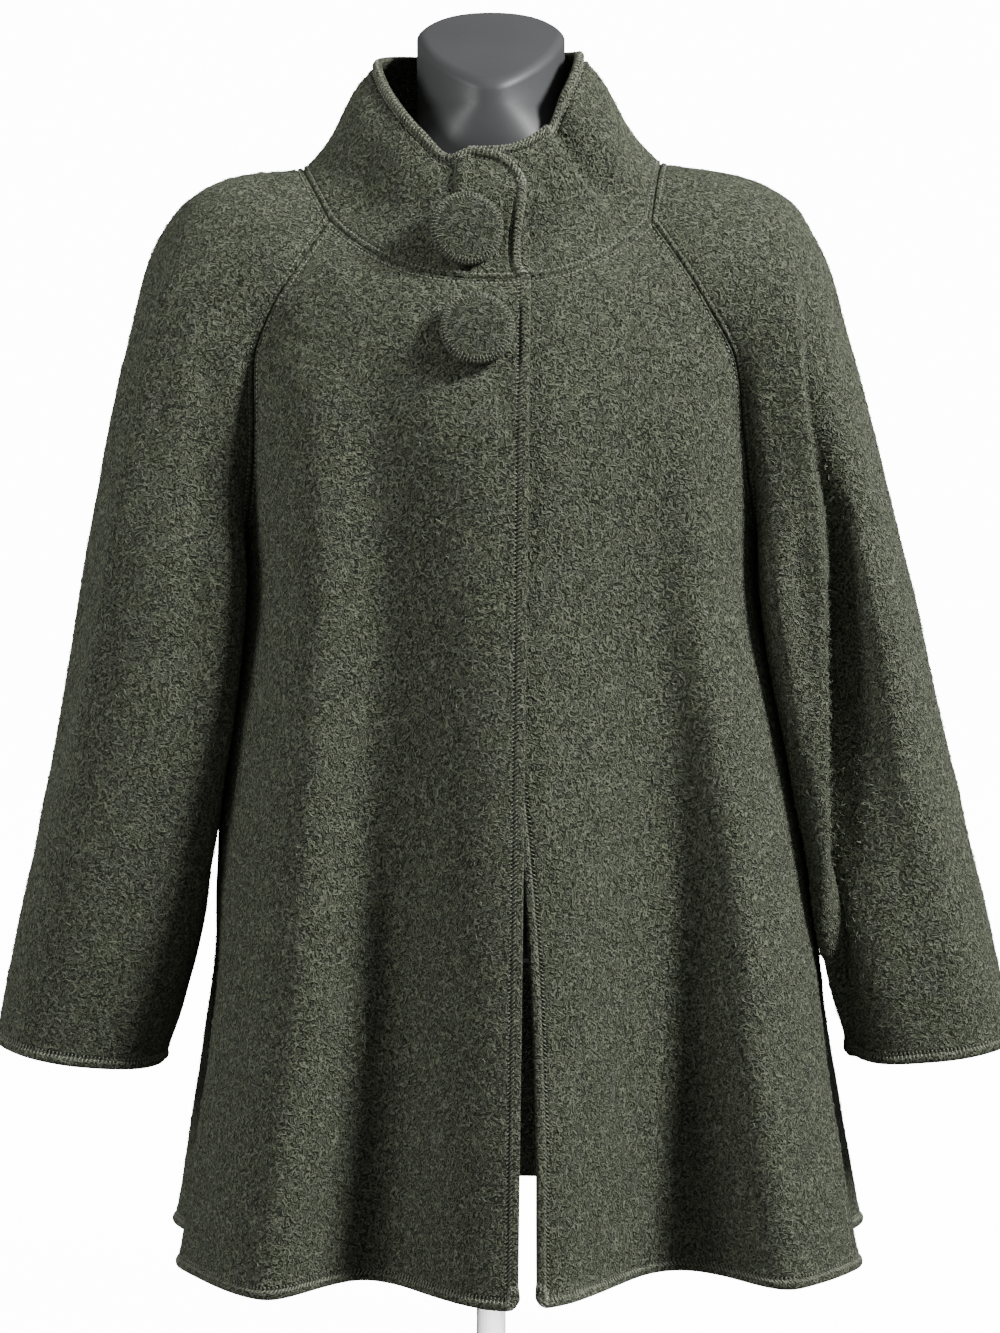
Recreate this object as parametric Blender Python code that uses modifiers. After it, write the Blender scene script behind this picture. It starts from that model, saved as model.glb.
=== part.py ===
"""A wool a-line coat with raglan sleeves and a funnel collar, worn by a limbless dress form.

Metres, +Z up. The coat's front faces -Y and its left sleeve, as worn, is at +X. The origin is
the centre of the base's underside. Every cloth panel is one grid of points on the outside of
the coat. Panels that are sewn together share the points of their seam, and each panel becomes
a wall of even thickness inwards from its points.
"""

import math
from collections import namedtuple

import bpy
from mathutils import Matrix, Vector
from mathutils.bvhtree import BVHTree

# Cloth and sewing
CLOTH = 0.0025  # boiled wool
SEAM_GAP = 0.0003  # between two sewn pieces
OVERLAP_LIFT = 0.0052  # how far the right front stands off the left front
LIFT_FULL_X = -0.036  # the lift is whole from here to the right front's edge
LIFT_START_X = -0.100
SCREW_MERGE = 0.00001
SHARP_ANGLE = 40  # degrees between faces past which a surface is shaded with an edge
MITRE_LIMIT = 0.70  # cosine past which a seam's wall is no longer thickened
CORNER_LIMIT = 0.35  # the same for how far a panel's corner is drawn in

# Heights of the body
HEM = 0.130
UNDERARM = 0.640
NECK_FRONT = 0.848
NECK_RAGLAN_FRONT = 0.889  # where collar, front and sleeve meet
NECK_BACK = 0.937
NECK_RAGLAN_BACK = 0.927
NECK_ROUNDNESS = 2.6  # exponent of the neck seam's rise towards the sides, at the front
RAGLAN_NECK_X = 0.1150
BACK_RAGLAN_NECK_X = 0.1050
NECK_ROUNDS = 6  # of working out a neck point's height from its own x

# Grid sizes
FRONT_COLUMNS = 18
BACK_COLUMNS = 28
SLEEVE_COLUMNS = 24
SEAM_ROWS = 11  # from the neck down to the underarm
SKIRT_ROWS = 10  # from the underarm down to the hem
COLLAR_ROWS = 4
ROW_CROWDING = 1.4  # above 1, the seam rows are closer together near the underarm
SKIRT_CROWDING = 1.25  # above 1, so are the skirt's rows
INNER_CROWDING = 0.5  # above 0, the columns of the lower sleeve are closer together on its inner side

SQUARENESS = 2.3  # superellipse exponent of the body's sections

Section = namedtuple("Section", "height half_width front back centre_x")
BODY = (
    Section(0.130, 0.268, 0.196, 0.182, 0.0206),
    Section(0.180, 0.259, 0.192, 0.176, 0.0200),
    Section(0.255, 0.245, 0.186, 0.168, 0.0190),
    Section(0.335, 0.232, 0.178, 0.160, 0.0195),
    Section(0.410, 0.224, 0.171, 0.153, 0.0173),
    Section(0.520, 0.207, 0.160, 0.140, 0.0125),
    Section(0.640, 0.190, 0.148, 0.126, 0.0080),
    Section(0.740, 0.192, 0.141, 0.118, 0.0055),
    Section(0.800, 0.200, 0.126, 0.108, 0.0035),
    Section(0.848, 0.205, 0.105, 0.098, 0.0015),
    Section(0.890, 0.205, 0.066, 0.088, 0.0000),
    Section(0.937, 0.200, 0.040, 0.072, -0.0020),
)

# The lengthwise folds of the skirt, each between two angles round the body and deepest at the
# hem. Its valley, or its ridge where the depth is negative, runs from the angle top at the
# fold's start to the angle low at the hem, and is pushed in from the direction side.
Fold = namedtuple("Fold", "first top low last depth growth start side")
FOLDS = (
    Fold(-41, -20, -20, 0, 0.064, 0.90, 0.80, 0),
    Fold(-64, -42, -41, -20, -0.017, 0.35, 0.80, 0),
    Fold(0, 33, 21, 46, 0.088, 1.15, 0.80, 0),
    Fold(-103, -84, -84, -65, 0.028, 1.35, 0.50, -84),
    Fold(65, 84, 84, 103, 0.028, 1.35, 0.50, 84),
    Fold(-141, -126, -124, -107, 0.030, 1.35, 0.60, -124),
    Fold(107, 126, 124, 141, 0.032, 1.35, 0.60, 124),
    Fold(-170, -150, -152, -134, 0.042, 1.20, 0.66, 180),
    Fold(132, 148, 150, 168, 0.046, 1.20, 0.66, 180),
)

# The raglan seams, as shares of the body's half width, from the neck to the underarm
Seam = namedtuple("Seam", "share front_right front_left back")
RAGLAN = (
    Seam(0.00, 0.561, 0.561, 0.528),
    Seam(0.12, 0.665, 0.655, 0.600),
    Seam(0.25, 0.775, 0.750, 0.690),
    Seam(0.40, 0.870, 0.860, 0.775),
    Seam(0.55, 0.905, 0.905, 0.850),
    Seam(0.70, 0.925, 0.930, 0.900),
    Seam(0.85, 0.958, 0.960, 0.950),
    Seam(0.95, 0.987, 0.988, 0.985),
    Seam(1.00, 1.000, 1.000, 1.000),
)

# The front edges, across the body
Edge = namedtuple("Edge", "height over_x under_x")
FRONT_EDGES = (
    Edge(0.130, 0.0195, 0.0325),
    Edge(0.240, 0.0208, 0.0318),
    Edge(0.370, 0.0225, 0.0270),
    Edge(0.600, 0.0255, 0.0040),
    Edge(0.848, 0.0285, -0.0220),
)

# Sleeve sections from the neck (0) past the underarm (1) to the cuff (2). An x is measured
# outwards from the body's middle. Angles run from the front (0) over the outside (90), and
# square is the superellipse exponent of a section's inner side, which the body flattens.
Ring = namedtuple(
    "Ring", "station outer_x outer_z centre_x centre_y front back inner inner_z start square"
)
SLEEVE_RIGHT = (
    Ring(0.00, 0.137, 0.9275, 0.085, 0.000, 0.062, 0.064, 0.050, 0.889, 34, 2.0),
    Ring(0.12, 0.187, 0.9215, 0.120, 0.000, 0.078, 0.070, 0.050, 0.859, 11, 2.0),
    Ring(0.25, 0.2225, 0.9035, 0.145, 0.000, 0.088, 0.078, 0.050, 0.827, 4, 2.0),
    Ring(0.40, 0.2465, 0.8690, 0.172, 0.000, 0.091, 0.083, 0.050, 0.789, -13, 2.0),
    Ring(0.55, 0.2600, 0.8283, 0.192, 0.000, 0.091, 0.085, 0.052, 0.752, -31, 2.2),
    Ring(0.70, 0.2722, 0.7800, 0.207, -0.001, 0.092, 0.086, 0.060, 0.714, -44, 2.7),
    Ring(0.85, 0.2842, 0.7250, 0.220, -0.002, 0.093, 0.086, 0.068, 0.677, -56, 3.1),
    Ring(1.00, 0.2964, 0.6600, 0.231, -0.004, 0.093, 0.085, 0.072, 0.640, -90, 3.4),
    Ring(1.25, 0.3116, 0.5670, 0.243, -0.008, 0.088, 0.080, 0.073, 0.548, -90, 3.3),
    Ring(1.50, 0.3282, 0.4700, 0.261, -0.016, 0.080, 0.074, 0.074, 0.452, -90, 2.9),
    Ring(1.75, 0.3492, 0.3760, 0.283, -0.021, 0.072, 0.068, 0.069, 0.357, -90, 2.5),
    Ring(2.00, 0.3679, 0.2870, 0.3062, -0.020, 0.065, 0.065, 0.062, 0.2705, -90, 2.2),
)
SLEEVE_LEFT = (
    Ring(0.00, 0.124, 0.9310, 0.085, 0.000, 0.062, 0.064, 0.050, 0.889, 34, 2.0),
    Ring(0.12, 0.179, 0.9225, 0.120, 0.000, 0.078, 0.070, 0.050, 0.859, 11, 2.0),
    Ring(0.25, 0.2190, 0.9035, 0.145, 0.000, 0.090, 0.078, 0.050, 0.827, 4, 2.0),
    Ring(0.40, 0.2410, 0.8680, 0.172, 0.000, 0.093, 0.083, 0.050, 0.789, -13, 2.0),
    Ring(0.55, 0.2572, 0.8283, 0.192, 0.000, 0.094, 0.085, 0.050, 0.752, -31, 2.2),
    Ring(0.70, 0.2698, 0.7800, 0.208, -0.001, 0.094, 0.086, 0.056, 0.714, -44, 2.6),
    Ring(0.85, 0.2847, 0.7250, 0.223, -0.002, 0.094, 0.086, 0.060, 0.677, -56, 3.0),
    Ring(1.00, 0.3010, 0.6600, 0.240, -0.004, 0.093, 0.085, 0.062, 0.640, -90, 3.2),
    Ring(1.25, 0.3232, 0.5670, 0.258, -0.008, 0.087, 0.080, 0.066, 0.548, -90, 3.0),
    Ring(1.50, 0.3455, 0.4700, 0.279, -0.016, 0.079, 0.074, 0.076, 0.452, -90, 2.7),
    Ring(1.75, 0.3682, 0.3760, 0.302, -0.023, 0.071, 0.066, 0.077, 0.361, -90, 2.5),
    Ring(2.00, 0.3889, 0.2890, 0.3283, -0.022, 0.065, 0.063, 0.0650, 0.2755, -90, 2.2),
)
ARM_STATIONS = (1.02, 1.06, 1.12, 1.20, 1.30, 1.42, 1.56, 1.70, 1.85, 2.0)
SEAM_EASE = 0.40  # share of a sleeve ring over which it bends to meet its seam
ARM_EASE = 0.30  # stations below the underarm over which that bend dies out
RELAX_PASSES = 6
RELAX_ROWS = (5, 19)  # the sleeve rows about the underarm that are evened out lengthwise
ARM_CLEARANCE = 0.004  # from the body's side to the hanging sleeve
CLEARANCE_START = 0.010  # above the seam, where the clearance starts
CLEARANCE_RISE = 0.016  # below the seam, where it is whole
PUSH_SOFTNESS = 0.0025  # how gradually the sleeve turns along the body
PUSH_AT_SEAM = 0.05  # share of that softness where the clearance starts
PUSH_FREE = 30  # softnesses past which a point is left where it is

# Lengthwise troughs of the sleeves: angle round the ring, and the stations they span
Trough = namedtuple("Trough", "angle half_width depth first last")
TROUGHS_RIGHT = (
    Trough(62, 16, 0.006, 0.20, 1.80),
    Trough(132, 20, 0.009, 0.35, 1.70),
)
TROUGHS_LEFT = (
    Trough(-2, 30, 0.020, 0.20, 2.10),
    Trough(128, 20, 0.010, 0.35, 1.70),
)

# The collar's rim, round the neck from the front towards the wearer's left
Rim = namedtuple("Rim", "angle radius height")
RIM_CENTRE = Vector((-0.0060, -0.0040))
RIM = (
    Rim(-14, 0.0700, 0.9400),
    Rim(12, 0.0695, 0.9420),
    Rim(36, 0.0700, 0.9530),
    Rim(60, 0.0685, 0.9860),
    Rim(90, 0.0680, 1.0110),
    Rim(135, 0.0720, 1.0130),
    Rim(180, 0.0720, 1.0120),
    Rim(225, 0.0740, 1.0110),
    Rim(270, 0.0745, 1.0040),
    Rim(300, 0.0720, 0.9780),
    Rim(325, 0.0715, 0.9520),
    Rim(343, 0.0735, 0.9350),
    Rim(354, 0.0760, 0.9400),
    Rim(366, 0.0790, 0.9370),
    Rim(373, 0.0810, 0.9290),
    Rim(378, 0.0830, 0.9170),
)
COLLAR_BELLY = 0.0030  # its upper half stands this far outside a straight cone, its lower half inside
COLLAR_BELLY_LIFT = 0.3  # of that much upwards

# The curve of the collar's top end, as a shift along x from its rim (0) to the neck seam (1)
Tab = namedtuple("Tab", "down shift")
TAB = (
    Tab(0.00, 0.0045),
    Tab(0.28, 0.0015),
    Tab(0.60, -0.0028),
    Tab(0.85, -0.0042),
    Tab(1.00, 0.0000),
)
TAB_START = 344  # degrees round the neck from which the end is shifted

# Buttons: a domed, cloth-covered disc on a short shank
BUTTON_RADIUS = 0.0262
BUTTON_DOME = 0.0120
BUTTON_STANDOFF = 0.0034
BUTTON_SHANK_RADIUS = 0.0060
BUTTON_RIM = 0.0050  # height of the dome's edge over the underside
BUTTON_SIDE = 0.0020  # height of the turned-under edge
BUTTON_TUCK = 0.0018  # how far that edge is drawn in
BUTTON_GAP = 0.0008
BUTTON_RINGS = 4
BUTTON_STEPS = 22
BUTTON_ON_COLLAR = (-0.0185, 0.8810)  # x and height
BUTTON_ON_FRONT = (-0.0090, 0.8100)

# Dress form: torso and neck
FormSection = namedtuple("FormSection", "height half_width front back front_taper centre_x")
FORM = (
    FormSection(0.355, 0.143, 0.084, 0.092, 0.0, 0.0),
    FormSection(0.360, 0.148, 0.089, 0.097, 0.0, 0.0),
    FormSection(0.400, 0.148, 0.090, 0.098, 0.0, 0.0),
    FormSection(0.450, 0.135, 0.086, 0.088, 0.0, 0.0),
    FormSection(0.520, 0.122, 0.086, 0.080, 0.0, 0.0),
    FormSection(0.600, 0.134, 0.098, 0.084, 0.0, 0.0),
    FormSection(0.690, 0.150, 0.116, 0.092, 0.0, 0.0),
    FormSection(0.760, 0.160, 0.108, 0.094, 0.0, 0.0),
    FormSection(0.820, 0.180, 0.084, 0.084, 0.0, -0.0005),
    FormSection(0.855, 0.200, 0.066, 0.072, 0.0, -0.0010),
    FormSection(0.882, 0.2055, 0.054, 0.062, 0.0, -0.0015),
    FormSection(0.9056, 0.186, 0.046, 0.056, 0.0, -0.0015),
    FormSection(0.9185, 0.143, 0.045, 0.055, 0.0, -0.0015),
    FormSection(0.9295, 0.099, 0.047, 0.055, 0.05, -0.0010),
    FormSection(0.940, 0.069, 0.050, 0.054, 0.15, 0.0),
    FormSection(0.960, 0.058, 0.052, 0.052, 0.25, 0.0),
)
FORM_SIDES = 28
FORM_SQUARENESS = 2.25
NECK_HALF_WIDTH = 0.0575
NECK_DEPTH = 0.0520
NECK_TAPER = 0.45  # how much the neck narrows towards its front
NECK_TAPER_START = 0.35  # cosine behind the sides where that narrowing starts
NECK_RISE = 0.012  # of the neck's lowest full section over the last of the form's
CAP_BACK = 1.0462
CAP_SLOPE = 0.56  # fall of the cap per metre towards the front
CAP_ROUND = 0.0035
CAP_EDGE = ((0.0, 1.0), (0.3, 0.3), (1.0, 0.0))  # the rounded edge: inset and drop, in CAP_ROUND

# Stand
POLE_RADIUS = 0.0110
BASE_RADIUS = 0.140
BASE_THICKNESS = 0.012
HUB_RADIUS = 0.024
HUB_HEIGHT = 0.034
EDGE_ROUND = 0.003
BASE_STEPS = 36
POLE_SIDES = 24


def along(rows, column, at):
    """The named column at a place along the table's first column, on a smooth curve."""
    xs = [row[0] for row in rows]
    ys = [getattr(row, column) for row in rows]
    at = min(max(at, xs[0]), xs[-1])
    k = next(i for i in range(1, len(xs)) if at <= xs[i])
    secants = [(ys[i + 1] - ys[i]) / (xs[i + 1] - xs[i]) for i in range(len(xs) - 1)]

    def slope(i):
        if i == 0 or i == len(xs) - 1:
            return secants[min(i, len(secants) - 1)]
        before, after = secants[i - 1], secants[i]
        return 0.0 if before * after <= 0 else 2 * before * after / (before + after)

    span = xs[k] - xs[k - 1]
    t = (at - xs[k - 1]) / span
    rise = ys[k] - ys[k - 1]
    first, last = slope(k - 1) * span, slope(k) * span
    return ys[k - 1] + t * (first + t * (3 * rise - 2 * first - last + t * (first + last - 2 * rise)))


def smoothstep(low, high, at):
    t = min(max((at - low) / (high - low), 0.0), 1.0)
    return t * t * (3 - 2 * t)


def powered(value, exponent):
    return math.copysign(abs(value) ** exponent, value)


def hump(offset, half_width):
    return math.cos(math.pi / 2 * offset / half_width) ** 2 if abs(offset) < half_width else 0.0


# The body's surface


def fold_push(angle, height):
    """How far the folds push a point of the body in, along x and y."""
    x = y = 0.0
    for fold in FOLDS:
        if height < fold.start:
            down = (fold.start - height) / (fold.start - HEM)
            valley = fold.top + (fold.low - fold.top) * down
            turned = (angle - valley + 180) % 360 - 180
            reach = fold.last - valley if turned > 0 else valley - fold.first
            push = fold.depth * down**fold.growth * hump(turned, reach)
            x -= push * math.sin(math.radians(fold.side))
            y += push * math.cos(math.radians(fold.side))
    return x, y


def body_point(angle, height):
    """A point of the coat's body: 0 degrees is the centre front and 90 the wearer's left side."""
    turn = math.radians(angle)
    depth = along(BODY, "front" if math.cos(turn) > 0 else "back", height)
    x = along(BODY, "half_width", height) * powered(math.sin(turn), 2 / SQUARENESS)
    y = -depth * powered(math.cos(turn), 2 / SQUARENESS)
    push_x, push_y = fold_push(angle, height)
    return Vector((along(BODY, "centre_x", height) + x + push_x, y + push_y, height))


def body_reach(point):
    """The body's radius at a point's height and direction, and the point's own radius."""
    x = point.x - along(BODY, "centre_x", point.z)
    own = math.hypot(x, point.y)
    wide = along(BODY, "half_width", point.z)
    deep = along(BODY, "front" if point.y < 0 else "back", point.z)
    unit = (abs(x / own / wide) ** SQUARENESS + abs(point.y / own / deep) ** SQUARENESS) ** (1 / SQUARENESS)
    return 1 / unit, own


def angle_of_share(share):
    """The body angle whose x is this share of the half width."""
    return math.degrees(math.asin(powered(share, SQUARENESS / 2)))


def angle_of_x(x, height):
    share = (x - along(BODY, "centre_x", height)) / along(BODY, "half_width", height)
    return angle_of_share(share)


def neck_height(angle):
    """The neck seam's height at a body angle, on the front or the back."""
    height = NECK_FRONT if abs(angle) < 90 else NECK_BACK
    for _ in range(NECK_ROUNDS):
        x = abs(body_point(angle, height).x)
        if abs(angle) < 90:
            rise = (x / RAGLAN_NECK_X) ** NECK_ROUNDNESS
            height = NECK_FRONT + (NECK_RAGLAN_FRONT - NECK_FRONT) * rise
        else:
            drop = (x / BACK_RAGLAN_NECK_X) ** 2
            height = NECK_BACK + (NECK_RAGLAN_BACK - NECK_BACK) * drop
    return height


def row_heights():
    """Shares of the way from the neck to the underarm, then heights down to the hem."""
    shares = [1 - (1 - j / SEAM_ROWS) ** ROW_CROWDING for j in range(SEAM_ROWS + 1)]
    falls = [(k / SKIRT_ROWS) ** SKIRT_CROWDING for k in range(1, SKIRT_ROWS + 1)]
    skirt = [UNDERARM + (HEM - UNDERARM) * fall for fall in falls]
    return shares, skirt


def body_panel(first_angle, last_angle, columns):
    """A grid of body points between two sides. Each side is a function that gives its angle
    from the share of the raglan seam and the height."""
    shares, skirt = row_heights()
    tops = []
    for i in range(columns + 1):
        first, last = first_angle(0, NECK_FRONT), last_angle(0, NECK_FRONT)
        tops.append(neck_height(first + (last - first) * i / columns))
    rows = []
    for share in shares:
        row = []
        for i in range(columns + 1):
            height = tops[i] + (UNDERARM - tops[i]) * share
            first, last = first_angle(share, height), last_angle(share, height)
            row.append(body_point(first + (last - first) * i / columns, height))
        rows.append(row)
    for height in skirt:
        first, last = first_angle(1, height), last_angle(1, height)
        rows.append([body_point(first + (last - first) * i / columns, height) for i in range(columns + 1)])
    return rows


def edge_angle(column):
    """The front edge's side of a panel."""

    def angle(share, height):
        return angle_of_x(along(FRONT_EDGES, column, height), height)

    return angle


def seam_angle(column, sign, behind=False):
    """A raglan seam's side of a panel, which goes on below the underarm as the side seam."""

    def angle(share, height):
        turn = angle_of_share(along(RAGLAN, column, share))
        return 180 - sign * turn if behind else sign * turn

    return angle


def lifted(rows):
    """The right front, raised off the left front near its edge."""

    def raised(point):
        lift = OVERLAP_LIFT * smoothstep(LIFT_START_X, LIFT_FULL_X, point.x)
        return point - Vector((0, lift, 0))

    return [[raised(point) for point in row] for row in rows]


# Sleeves


def trough_depth(troughs, angle, station):
    depth = 0.0
    for trough in troughs:
        middle, half = (trough.first + trough.last) / 2, (trough.last - trough.first) / 2
        depth += trough.depth * hump(angle - trough.angle, trough.half_width) * hump(station - middle, half)
    return depth


def ring_point(rings, troughs, side, station, angle):
    """A point of the sleeve's section at a station. side is -1 for the right sleeve, 1 for the left."""
    ring = {name: along(rings, name, station) for name in Ring._fields[1:]}
    turn, start = math.radians(angle), math.radians(ring["start"])
    across = (ring["outer_x"] - ring["centre_x"]) if math.sin(turn) > 0 else ring["inner"]
    deep = ring["front"] if math.cos(turn) > 0 else ring["back"]
    inner = 1 - trough_depth(troughs, angle, station) / deep
    power = 2 / ring["square"] if math.sin(turn) < 0 else 1.0
    x = ring["centre_x"] + across * powered(math.sin(turn), power) * inner
    y = ring["centre_y"] - deep * powered(math.cos(turn), power) * inner
    rise = (math.sin(turn) - math.sin(start)) / (1 - math.sin(start))
    return Vector((side * x, y, ring["inner_z"] + (ring["outer_z"] - ring["inner_z"]) * rise))


def seam_height(point, front_seam, back_seam):
    """The height of the raglan seam straight above or below a point of the sleeve's inner side."""
    seam = front_seam if point.y < 0 else back_seam
    for upper, lower in zip(reversed(seam[:-1]), reversed(seam)):
        if abs(lower.y) <= abs(point.y) <= abs(upper.y):
            return lower.z + (upper.z - lower.z) * (abs(point.y) - abs(lower.y)) / abs(upper.y - lower.y)
    return None


def clear_of_body(point, front_seam, back_seam):
    """A sleeve point moved out so that the hanging sleeve stays just clear of the coat's side."""
    top = seam_height(point, front_seam, back_seam)
    if top is None:
        top = front_seam[0].z
    if point.z >= top:
        return point
    reach, own = body_reach(point)
    ramp = smoothstep(-CLEARANCE_START, CLEARANCE_RISE, top - point.z)
    need = reach + ARM_CLEARANCE * ramp
    soft = PUSH_SOFTNESS * (ramp + PUSH_AT_SEAM)
    over = (own - need) / soft
    out = need + soft * (math.log1p(math.exp(over)) if over < PUSH_FREE else over)
    centre = along(BODY, "centre_x", point.z)
    return Vector((centre + (point.x - centre) * out / own, point.y * out / own, point.z))


def eased(row, to_front, to_back):
    """A sleeve row bent so that its two ends move by the given amounts."""
    out = []
    for i, point in enumerate(row):
        near_front = max(0.0, 1 - i / (SEAM_EASE * SLEEVE_COLUMNS)) ** 2
        near_back = max(0.0, 1 - (SLEEVE_COLUMNS - i) / (SEAM_EASE * SLEEVE_COLUMNS)) ** 2
        out.append(point + to_front * near_front + to_back * near_back)
    return out


def relaxed(rows):
    """Sleeve rows evened out lengthwise about the underarm, with the seams' points kept."""
    for _ in range(RELAX_PASSES):
        before = [list(row) for row in rows]
        for j in range(*RELAX_ROWS):
            kept = 1 if j <= SEAM_ROWS else 0
            for i in range(kept, SLEEVE_COLUMNS + 1 - kept):
                rows[j][i] = before[j][i].lerp((before[j - 1][i] + before[j + 1][i]) / 2, 0.5)
    return rows


def column_shares(station):
    """Shares of the way round a sleeve, from its front seam to its back seam."""
    crowding = INNER_CROWDING * smoothstep(0.55, 1.0, station)
    turns = [2 * math.pi * i / SLEEVE_COLUMNS for i in range(SLEEVE_COLUMNS + 1)]
    return [(turn - crowding * math.sin(turn)) / (2 * math.pi) for turn in turns]


def sleeve_rows(rings, troughs, side, front_seam, back_seam):
    """Rows from the neck to the cuff. Seams are lists of points from the neck to the underarm."""
    shares, _ = row_heights()
    rows = []
    for j, station in enumerate(shares + list(ARM_STATIONS)):
        start = along(rings, "start", station)
        angles = [start + (180 - 2 * start) * share for share in column_shares(station)]
        row = [ring_point(rings, troughs, side, station, angle) for angle in angles]
        if j <= SEAM_ROWS:
            to_front, to_back, fading = front_seam[j] - row[0], back_seam[j] - row[-1], 1.0
        else:
            fading = max(0.0, 1 - (station - 1) / ARM_EASE) ** 2
        row = eased(row, to_front * fading, to_back * fading)
        if j <= SEAM_ROWS:
            row[0], row[-1] = front_seam[j], back_seam[j]
        rows.append(row)
    rows = relaxed(rows)
    for j, row in enumerate(rows):
        ends = row[0], row[-1]
        row[:] = [clear_of_body(point, front_seam, back_seam) for point in row]
        if j <= SEAM_ROWS:
            row[0], row[-1] = ends
        else:
            row[0] = row[-1] = (row[0] + row[-1]) / 2
    return rows


# Collar


def rim_point(angle):
    turn = math.radians(angle)
    radius = along(RIM, "radius", angle)
    return Vector((
        RIM_CENTRE.x + radius * math.sin(turn),
        RIM_CENTRE.y - radius * math.cos(turn),
        along(RIM, "height", angle),
    ))


def collar_rows(neck):
    """Rows from the rim down to the neck seam, whose points run from the end underneath,
    round the wearer's left and the back, to the end on top."""
    angles = []
    for point in neck:
        angle = math.degrees(math.atan2(point.x - RIM_CENTRE.x, RIM_CENTRE.y - point.y))
        while angles and angle < angles[-1] - 90:
            angle += 360
        angles.append(angle)
    rows = []
    for k in range(COLLAR_ROWS + 1):
        down = k / COLLAR_ROWS
        row = []
        for point, angle in zip(neck, angles):
            out = Vector((math.sin(math.radians(angle)), -math.cos(math.radians(angle)), COLLAR_BELLY_LIFT))
            place = rim_point(angle).lerp(point, down) + out * COLLAR_BELLY * math.sin(2 * math.pi * down)
            place.x += along(TAB, "shift", down) * smoothstep(TAB_START, RIM[-1].angle, angle)
            row.append(place)
        rows.append(row)
    rows[-1] = list(neck)
    return rows


# From grids to walls

Panel = namedtuple("Panel", "points faces")


def panel_of(rows, flip):
    """A grid's points, with coinciding ones shared, and its faces, split along the shorter diagonals."""
    points, index, ids = [], {}, []
    for row in rows:
        ids.append([])
        for point in row:
            key = key_of(point)
            if key not in index:
                index[key] = len(points)
                points.append(point)
            ids[-1].append(index[key])
    faces = []
    for upper, lower in zip(ids, ids[1:]):
        for i in range(len(upper) - 1):
            a, b, c, d = upper[i], lower[i], lower[i + 1], upper[i + 1]
            if (points[a] - points[c]).length < (points[b] - points[d]).length:
                halves = ((a, b, c), (a, c, d))
            else:
                halves = ((a, b, d), (b, c, d))
            faces += [face[::-1] if flip else face for face in halves if len(set(face)) == 3]
    return Panel(points, faces)


def key_of(point):
    return tuple(round(value * 1e6) for value in point)


def face_normal(panel, face):
    total = Vector()
    for a, b in zip(face, face[1:] + face[:1]):
        total += panel.points[a].cross(panel.points[b])
    return total.normalized()


def shared_normals(panels):
    """For each place where panels have a point: its mean normal, and how much to deepen the
    wall there so that it keeps its thickness across a bend."""
    around = {}
    for panel in panels:
        for face in panel.faces:
            normal = face_normal(panel, face)
            for a, b, c in zip(face[-1:] + face[:-1], face, face[1:] + face[:1]):
                before = panel.points[a] - panel.points[b]
                after = panel.points[c] - panel.points[b]
                around.setdefault(key_of(panel.points[b]), []).append((normal, before.angle(after, 0.0)))
    out = {}
    for key, found in around.items():
        mean = sum((normal * angle for normal, angle in found), Vector()).normalized()
        weight = sum(angle for _, angle in found)
        lean = sum(normal.dot(mean) * angle for normal, angle in found) / weight
        out[key] = mean / max(lean, MITRE_LIMIT)
    return out


def wall(panel, normals):
    """The closed wall of a panel, drawn in from its neighbours by half a seam gap."""
    directed = {}
    for face in panel.faces:
        for a, b in zip(face, face[1:] + face[:1]):
            directed[(a, b)] = face
    border = [pair for pair in directed if pair[::-1] not in directed]
    inwards = {}
    for a, b in border:
        face = directed[(a, b)]
        across = face_normal(panel, face).cross(panel.points[b] - panel.points[a]).normalized()
        inwards.setdefault(a, []).append(across)
        inwards.setdefault(b, []).append(across)
    outer, inner = [], []
    for i, point in enumerate(panel.points):
        drawn = Vector()
        if i in inwards:
            first, second = inwards[i][0], inwards[i][-1]
            drawn = (first + second) / max(1 + first.dot(second), CORNER_LIMIT) * SEAM_GAP / 2
            if len(inwards[i]) == 1:
                drawn = first * SEAM_GAP / 2
        outer.append(point + drawn)
        inner.append(point + drawn - normals[key_of(point)] * CLOTH)
    count = len(outer)
    faces = list(panel.faces)
    faces += [tuple(i + count for i in face[::-1]) for face in panel.faces]
    for a, b in border:
        # Both pieces at a seam split each strip of their end walls along the same diagonal
        if key_of(panel.points[a]) < key_of(panel.points[b]):
            faces += [(b, a, a + count), (b, a + count, b + count)]
        else:
            faces += [(b, a, b + count), (a, a + count, b + count)]
    return outer + inner, faces


# Objects


def new_collection(name):
    collection = bpy.data.collections.new(name)
    bpy.context.scene.collection.children.link(collection)
    return collection


def material(name, colour, roughness, metallic=0.0):
    made = bpy.data.materials.new(name)
    made.use_nodes = True
    shader = made.node_tree.nodes["Principled BSDF"]
    shader.inputs["Base Color"].default_value = (*colour, 1.0)
    shader.inputs["Roughness"].default_value = roughness
    shader.inputs["Metallic"].default_value = metallic
    made.diffuse_color = (*colour, 1.0)
    return made


def add_mesh(name, points, faces, finish, collection):
    mesh = bpy.data.meshes.new(name)
    mesh.from_pydata([tuple(point) for point in points], [], faces)
    mesh.update()
    mesh.shade_smooth()
    mesh.set_sharp_from_angle(angle=math.radians(SHARP_ANGLE))
    mesh.materials.append(finish)
    made = bpy.data.objects.new(name, mesh)
    collection.objects.link(made)
    return made


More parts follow.
